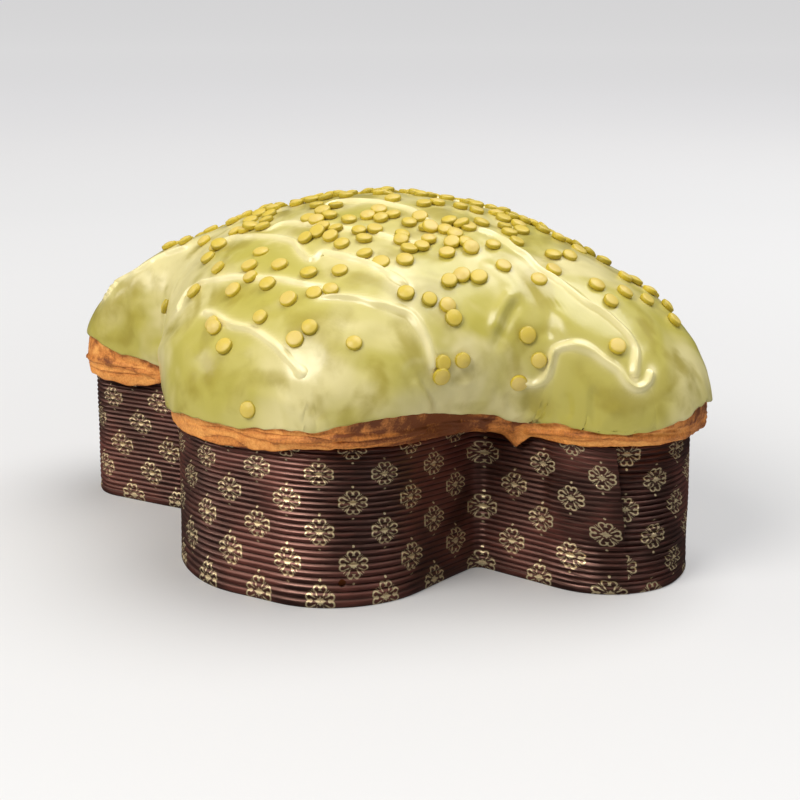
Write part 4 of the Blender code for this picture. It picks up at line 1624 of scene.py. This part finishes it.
@dataclass
class Drizzle(Piece):
    """Soft raised strokes of pale icing that melt into the coat."""

    bench: Bench
    view: Viewpoint
    slot = "pistachio_icing"
    nodes = ("icing",)
    step: float = 0.8
    across: int = 17
    reach: float = 2.5
    sink: float = 0.15
    depth: float = 0.5
    width_play: float = 0.2
    height_play: float = 0.25
    end_length: float = 4.0
    end_width: float = 0.45
    blob_place: float = 2.5
    blob_width: float = 4.5
    sharp_angle: float = 50.0
    strokes: tuple[Stroke, ...] = (
        Stroke(((104, 291), (122, 279), (143, 267), (162, 255), (188, 247))),
        Stroke(((178, 311), (184, 296), (200, 283), (222, 278), (240, 276), (260, 278), (280, 279),
                (300, 283), (322, 286))),
        Stroke(((214, 247), (233, 238), (254, 237), (280, 238), (295, 243), (302, 253), (312, 260),
                (322, 252), (340, 255), (367, 262), (387, 272), (408, 286)), 1.4, 1.4),
        Stroke(((321, 297), (345, 297), (366, 300), (400, 310), (412, 316), (422, 331), (429, 348),
                (434, 370)), 1.45, 1.5, 0.35),
        Stroke(((204, 312), (213, 314), (231, 324), (253, 330), (274, 344), (292, 363), (305, 377)),
               1.35, 1.3, 0.5),
        Stroke(((324, 206), (337, 202), (354, 201), (374, 201), (394, 205), (414, 211), (435, 227))),
        Stroke(((270, 229), (284, 223), (302, 223), (322, 226), (343, 228), (365, 230), (387, 236),
                (408, 242), (424, 243)), 0.95),
        Stroke(((477, 229), (493, 234), (506, 242), (517, 250), (528, 257), (540, 269), (560, 282),
                (584, 301), (604, 313), (616, 323), (628, 335), (636, 350), (635, 366), (634, 378)),
               1.5, 1.6, 0.2),
        Stroke(((522, 381), (533, 384), (545, 378), (551, 364), (556, 350), (573, 345), (590, 350),
                (604, 360), (618, 370), (627, 382), (637, 388), (647, 383), (652, 370)), 1.85, 1.5),
        Stroke(((-96, 20), (-52, 34), (0, 30), (46, 40), (78, 26)), given=Seen.PLAN),
        Stroke(((-40, 66), (0, 72), (32, 60), (60, 64)), given=Seen.PLAN),
        Stroke(((-28, 92), (2, 98), (28, 90), (46, 98)), 1.35, 1.4, 0.4, given=Seen.PLAN),
        Stroke(((70, 44), (92, 40), (112, 36), (128, 38)), 1.45, 1.5, 0.4, given=Seen.PLAN),
    )

    def lines(self, tree: BVHTree) -> list[Array]:
        """Middle lines of the strokes on the coat, in millimetres."""
        return [stroke.line(tree, self.view, self.step) for stroke in self.strokes]

    def build(self, tree: BVHTree, lines: Sequence[Array]) -> Object:
        """Builds every stroke as a closed ribbon with a rounded back, and joins them."""
        select_only(*[self.ribbon(number, line, tree) for number, line in enumerate(lines)])
        bpy.ops.object.join()
        bpy.ops.object.shade_smooth_by_angle(angle=math.radians(self.sharp_angle))
        return fresh("drizzle")

    def profile(self, number: int, line: Array) -> tuple[Array, Array]:
        """Half widths and heights along a stroke, in millimetres.

        Args:
            number: the stroke's number, which seeds its unevenness.
            line: its middle line on the coat.

        Returns:
            The half widths and the heights.
        """
        stroke = self.strokes[number]
        from_start = np.arange(len(line)) * self.step
        to_end = from_start[::-1]
        ends = climb(np.minimum(from_start, to_end), 0.0, self.end_length)
        ends = np.sqrt(1.0 - (1.0 - ends) ** 2)
        swollen = 1.0 + stroke.blob * hump(to_end - self.blob_place, self.blob_width)
        wide = Ripple(seed=50 + number, longest=40.0, shortest=9.0).at(line)
        high = Ripple(seed=70 + number, longest=30.0, shortest=8.0).at(line)
        widths = stroke.width * (1.0 + self.width_play * wide) * swollen
        widths = widths * (self.end_width + (1.0 - self.end_width) * ends)
        return widths, stroke.height * (1.0 + self.height_play * high) * swollen * ends

    def ribbon(self, number: int, line: Array, tree: BVHTree) -> Object:
        """One closed ribbon.

        Args:
            number: the stroke's number.
            line: its middle line on the coat, in millimetres.
            tree: the coat's surface.

        Returns:
            The ribbon.
        """
        along = np.gradient(line, axis=0)
        along /= np.linalg.norm(along, axis=1)[:, None]
        normals = np.array([tree.find_nearest(Vector(point))[1] for point in line])
        sideways = np.cross(normals, along)
        widths, heights = self.profile(number, line)
        rows = np.empty((self.across, len(line), 3))
        for k, offset in enumerate(np.linspace(-self.reach, self.reach, self.across)):
            lift = heights * math.exp(-offset ** 2) - self.sink * (offset / self.reach) ** 2
            for j, wanted in enumerate(line + sideways * (offset * widths)[:, None]):
                place, normal = tree.find_nearest(Vector(wanted))[:2]
                rows[k, j] = place + normal * lift[j]
        rows[..., 2] = np.minimum(rows[..., 2], self.bench.limits()[1][2])
        item = self.bench.strip(f"stroke_{number}", rows)
        apply_modifier(item, "SOLIDIFY", thickness=self.depth * MM, offset=-1.0)
        return item


class DropPose(Enum):
    """How a chocolate drop lies."""

    FLAT = "flat"
    LEANING = "leaning"
    SUNK = "sunk"


@dataclass
class Drop:
    """One chocolate drop: its place on the coat, the way out there, its radius, lean and pose."""

    place: Vector
    normal: Vector
    radius: float
    lean: Pair
    pose: DropPose = DropPose.FLAT
    turned_over: bool = False


@dataclass
class Drops(Piece):
    """Chocolate drops: flat round buttons, thick on the crown and sparse on the flanks.

    Those that the photograph shows lie where it shows them, and the others are scattered.
    """

    bench: Bench
    form: LoafForm
    view: Viewpoint
    slot = "pistachio_icing"
    nodes = ("icing",)
    lit_face_name = "face"
    tone_name = "tone"
    seed: int = 41
    scattered: int = 190
    tries: int = 20
    turned_share: float = 0.4
    sunk_share: float = 0.12
    radius: Pair = (3.25, 3.8)
    lean: float = 8.0
    spacing: float = 4.6
    touching: float = 7.0
    middle: Pair = (22.0, 0.0)
    spread: Pair = (52.0, 44.0)
    reach: float = 0.9
    thickness: float = 2.5
    sunk: float = 0.4
    sunk_deep: float = 0.9
    least_lean: float = 6.0
    lean_growth: float = 4.5
    lean_lift: float = 0.6
    sides: int = 20
    bevel: float = 0.34
    bevel_steps: int = 3
    dome: tuple[Pair, ...] = ((0.2, 0.12), (0.22, 0.06))
    upward: float = 0.9
    lit_face_level: float = 0.45
    sharp_angle: float = 60.0
    on_left_flank: tuple[tuple[int, int], ...] = (
        (167, 307), (195, 292), (234, 291), (213, 324), (216, 329), (225, 347), (248, 410), (261, 318),
        (289, 300), (314, 293), (331, 291), (268, 285), (251, 278), (250, 267), (280, 266), (309, 274),
        (340, 272), (295, 340), (310, 328), (354, 343), (219, 269), (209, 259), (217, 248), (205, 242),
        (261, 252), (186, 240), (170, 243), (221, 247))
    on_crown: tuple[tuple[int, int], ...] = (
        (233, 219), (260, 215), (274, 210), (270, 216), (251, 222), (267, 222), (236, 233), (246, 231),
        (252, 229), (263, 228), (297, 201), (312, 197), (326, 197), (346, 193), (381, 190), (387, 194),
        (393, 200), (421, 194), (424, 205), (317, 207), (323, 212), (336, 207), (368, 217), (379, 211),
        (393, 216), (381, 220), (409, 224), (420, 218), (309, 220), (317, 222), (330, 217), (349, 221),
        (323, 228), (336, 230), (318, 234), (331, 238), (306, 240), (342, 245), (359, 232), (375, 231),
        (364, 240), (402, 236), (401, 242), (426, 229), (409, 250), (422, 248), (365, 255), (381, 262),
        (405, 261), (437, 204), (460, 208), (476, 204), (476, 212), (496, 215), (511, 214), (503, 220),
        (518, 226), (521, 232), (504, 228), (509, 234), (516, 243), (481, 224), (468, 228), (461, 226),
        (449, 223), (445, 231), (431, 230), (455, 236), (452, 244), (466, 244), (471, 250), (447, 254),
        (493, 246), (429, 241), (542, 231), (558, 239), (579, 246), (553, 256), (569, 257), (603, 260))
    on_right_flank: tuple[tuple[int, int], ...] = (
        (503, 267), (539, 279), (553, 271), (462, 276), (479, 278), (449, 282), (406, 294), (429, 300),
        (447, 306), (453, 319), (527, 335), (539, 360), (519, 383), (442, 363), (462, 360), (440, 376),
        (596, 286), (610, 302), (624, 293), (624, 278), (634, 276), (646, 301), (649, 290), (673, 321),
        (666, 299), (617, 347))

    def pattern(self) -> Object:
        """Models one drop of radius 1 by 1 high: a button with rounded edges and a domed top."""
        select_only()
        bpy.ops.mesh.primitive_cylinder_add(vertices=self.sides, radius=1.0, depth=1.0)
        item = bpy.context.object
        builder = edit(item)
        bpy.ops.mesh.select_mode(type="FACE")
        for face in builder.faces:
            face.select_set(abs(face.normal.z) > self.upward)
        bmesh.update_edit_mesh(item.data)
        bpy.ops.mesh.bevel(offset=self.bevel, segments=self.bevel_steps, affect="EDGES")
        bpy.ops.mesh.select_all(action="DESELECT")
        builder = bmesh.from_edit_mesh(item.data)
        for face in builder.faces:
            face.select_set(face.normal.z > self.upward and len(face.verts) == self.sides)
        bmesh.update_edit_mesh(item.data)
        for inset, rise in self.dome:
            bpy.ops.mesh.inset(thickness=inset)
            bpy.ops.transform.translate(value=(0.0, 0.0, rise))
        bpy.ops.mesh.poke()
        leave_edit()
        return item

    def shown(self, draw: random.Random, tree: BVHTree) -> list[Drop]:
        """The drops that the photograph shows."""
        made: list[Drop] = []
        for x, y in self.on_left_flank + self.on_right_flank + self.on_crown:
            place, normal = self.view.seen(tree, x, y)
            made.append(self.drawn(draw, place, normal, made))
        return made

    def hidden(self, draw: random.Random, tree: BVHTree, shown: list[Drop]) -> list[Drop]:
        """Drops scattered where the photograph doesn't reach."""
        made: list[Drop] = []
        for _ in range(self.scattered * self.tries):
            x, y = (draw.gauss(middle, spread) for middle, spread in zip(self.middle, self.spread))
            hit = under(tree, x, y) if self.on_dome(x, y) else None
            if hit is None or self.view.sees(tree, hit[0]) or len(made) >= self.scattered:
                continue
            if all((hit[0] - other.place).length > self.spacing for other in shown + made):
                made.append(self.drawn(draw, *hit, shown + made))
        return made

    def drawn(self, draw: random.Random, place: Vector, normal: Vector, others: Sequence[Drop]) -> Drop:
        """A drop of random size and lean; one that touches another leans on it."""
        size = draw.uniform(*self.radius)
        lean = (draw.uniform(-self.lean, self.lean), draw.uniform(-self.lean, self.lean))
        drop = Drop(place, normal, size, lean, turned_over=draw.random() < self.turned_share)
        nearest = min(((place - other.place).length for other in others), default=self.touching)
        if nearest < self.touching:
            drop.pose = DropPose.LEANING
        elif draw.random() < self.sunk_share:
            drop.pose = DropPose.SUNK
        return drop

    def on_dome(self, x: float, y: float) -> bool:
        """Whether a place in the plan lies well inside the dome."""
        order = np.argsort(self.form.angle)
        edge = np.interp(math.atan2(y, x - self.form.crown_x), self.form.angle[order],
                         self.form.radius[order], period=2 * math.pi)
        return math.hypot(x - self.form.crown_x, y) < self.reach * edge

    def build(self, tree: BVHTree) -> Object:
        """Lays every drop on the coat and joins them in one mesh."""
        draw = random.Random(self.seed)
        drops = self.shown(draw, tree)
        drops += self.hidden(draw, tree, drops)
        log.info("%d drops", len(drops))
        pattern = self.pattern()
        points = read_points(pattern)
        faces = [tuple(face.vertices) for face in pattern.data.polygons]
        bpy.data.meshes.remove(pattern.data)
        low, high = self.bench.limits()
        all_points, all_faces, lit_tops, tones = [], [], [], []
        for number, drop in enumerate(drops):
            turn = -1.0 if drop.turned_over else 1.0
            shaped = points * (drop.radius, drop.radius * turn, self.thickness * turn)
            place = np.array(self.lie(drop, drops[:number]))
            placed = (np.column_stack([shaped, np.ones(len(shaped))]) @ place.T)[:, :3]
            past_high = np.maximum(placed.max(axis=0) - high, 0.0)
            past_low = np.minimum(placed.min(axis=0) - low, 0.0)
            all_points.append(placed - (past_high + past_low))
            all_faces += [tuple(k + number * len(points) for k in face) for face in faces]
            # painted light: the face that lies upwards, on a turned drop too, is marked for the paler
            # colour
            lit_tops.append(points[:, 2] * turn > self.lit_face_level)
            tones.append(np.full(len(points), draw.random()))
        mesh = bpy.data.meshes.new("drops")
        mesh.from_pydata(self.bench.to_frame(np.concatenate(all_points)).tolist(), [], all_faces)
        item = add_object("drops", mesh)
        write_attribute(item, self.lit_face_name, np.concatenate(lit_tops))
        write_attribute(item, self.tone_name, np.concatenate(tones))
        mesh.shade_smooth()
        mesh.set_sharp_from_angle(angle=math.radians(self.sharp_angle))
        return item

    def lie(self, drop: Drop, others: Sequence[Drop]) -> Matrix:
        """Where a drop lies.

        Args:
            drop: the drop.
            others: the drops laid before it, which it may lean on.

        Returns:
            Its placing, in millimetres.
        """
        facing = drop.normal.to_track_quat("Z", "Y").to_matrix().to_4x4()
        tilt = Euler([math.radians(angle) for angle in (*drop.lean, 0.0)]).to_matrix().to_4x4()
        rise = 0.5 * self.thickness - self.sunk
        if drop.pose is DropPose.SUNK:
            rise -= self.sunk_deep
        if drop.pose is DropPose.LEANING:
            nearest = min(others, key=lambda other: (drop.place - other.place).length)
            away = drop.place - nearest.place
            lean = self.least_lean + self.lean_growth * (self.touching - away.length)
            angle = math.radians(lean)
            tilt = Matrix.Rotation(angle, 4, drop.normal.cross(away).normalized())
            rise += self.lean_lift * drop.radius * math.sin(angle)
            return Matrix.Translation(drop.place + drop.normal * rise) @ tilt @ facing
        return Matrix.Translation(drop.place) @ facing @ tilt @ Matrix.Translation((0.0, 0.0, rise))


@dataclass(frozen=True)
class SoftBox:
    """A soft studio light: its place and aim in metres, size, power in watts and colour."""

    name: str
    place: Triple
    size: float
    power: float
    colour: Colour = (1.0, 1.0, 1.0)
    aim: Triple = (0.0, 0.0, 0.07)

    def add(self) -> None:
        """Adds the light."""
        lamp = bpy.data.lights.new(self.name, "AREA")
        lamp.shape = "DISK"
        lamp.size = self.size
        lamp.energy = self.power
        lamp.color = self.colour
        item = add_object(self.name, lamp)
        item.location = self.place
        way = Vector(self.aim) - Vector(self.place)
        item.rotation_euler = way.to_track_quat("-Z", "Y").to_euler()


@dataclass
class Studio:
    """Plain pale floor, soft light and the camera at the photograph's viewing angle."""

    bench: Bench
    view: Viewpoint
    floor_radius: float = 40.0
    floor_sides: int = 96
    floor_drop: float = 0.0002
    sky: Colour = (0.98, 0.99, 1.0)
    sky_strength: float = 0.05
    lights: tuple[SoftBox, ...] = field(default_factory=lambda: (
        SoftBox("key", (-0.31, -1.35, 1.42), 1.1, 26.0, (1.0, 0.97, 0.92)),
        SoftBox("side", (-1.55, -0.75, 0.75), 0.6, 3.6, (1.0, 0.96, 0.90)),
        SoftBox("fill", (1.45, -0.45, 0.6), 0.25, 0.6),
        SoftBox("overhead", (0.42, 0.55, 1.95), 1.9, 39.0),
    ))

    def build(self) -> None:
        """Builds the floor, the lights and the camera."""
        bpy.context.scene.view_settings.view_transform = "Standard"
        self.add_floor()
        self.add_sky()
        for light in self.lights:
            light.add()
        self.add_camera()

    def add_floor(self) -> None:
        """Adds the floor."""
        select_only()
        bpy.ops.mesh.primitive_circle_add(vertices=self.floor_sides, radius=self.floor_radius,
                                          fill_type="NGON", location=(0.0, 0.0, -self.floor_drop))
        floor = fresh("studio_floor")
        floor.data.materials.append(PaleFloor().material())
        floor.visible_glossy = False

    def add_sky(self) -> None:
        """Gives the world a plain pale light."""
        world = bpy.data.worlds.new("pale_sky")
        world.use_nodes = True
        background = world.node_tree.nodes["Background"]
        background.inputs["Color"].default_value = (*self.sky, 1.0)
        background.inputs["Strength"].default_value = self.sky_strength
        bpy.context.scene.world = world

    def add_camera(self) -> None:
        """Adds the camera."""
        lens = bpy.data.cameras.new("camera")
        lens.sensor_width = self.view.sensor
        lens.lens = self.view.focal_pixels * self.view.sensor / self.view.picture_width
        lens.clip_end = 2.0 * self.floor_radius
        camera = add_object("camera", lens)
        camera.location = self.bench.to_frame(np.array(self.view.place))
        camera.rotation_euler = self.view.angles()
        bpy.context.scene.camera = camera


def surface_tree(item: Object, bench: Bench) -> BVHTree:
    """A piece's surface in millimetres of the plan, for laying things on it."""
    points = read_points(item) / MM - bench.shift
    return BVHTree.FromPolygons(points.tolist(), [face.vertices for face in item.data.polygons])


def main() -> None:
    """Builds the loaf's pieces in order, then the studio."""
    logging.basicConfig(level=logging.INFO, format="%(message)s")
    bench, view = Bench(), Viewpoint()
    form, case_form = LoafForm(DovePlan()), LoafForm(DovePlan(fineness=CASE_FINENESS))

    for piece, finish in ((PaperWall(bench, case_form), PrintedPaper()),
                          (CaseFloor(bench, case_form), PlainPaper()),
                          (Crust(bench, form), BakedCrust())):
        piece.dress(piece.build(), finish.material())

    coat, drizzle = IcingCoat(bench, form, view), Drizzle(bench, view)
    icing = coat.build()
    tree = surface_tree(icing, bench)
    lines = drizzle.lines(tree)
    drizzled = drizzle.build(tree, lines)
    glaze = PistachioIcing().material()
    for piece, item in ((coat, icing), (drizzle, drizzled)):
        coat.store_cream(item, lines)
        piece.dress(item, glaze)

    drops = Drops(bench, form, view)
    drops.dress(drops.build(tree), DropChocolate().material())
    Studio(bench, view).build()


if __name__ == "__main__":
    main()
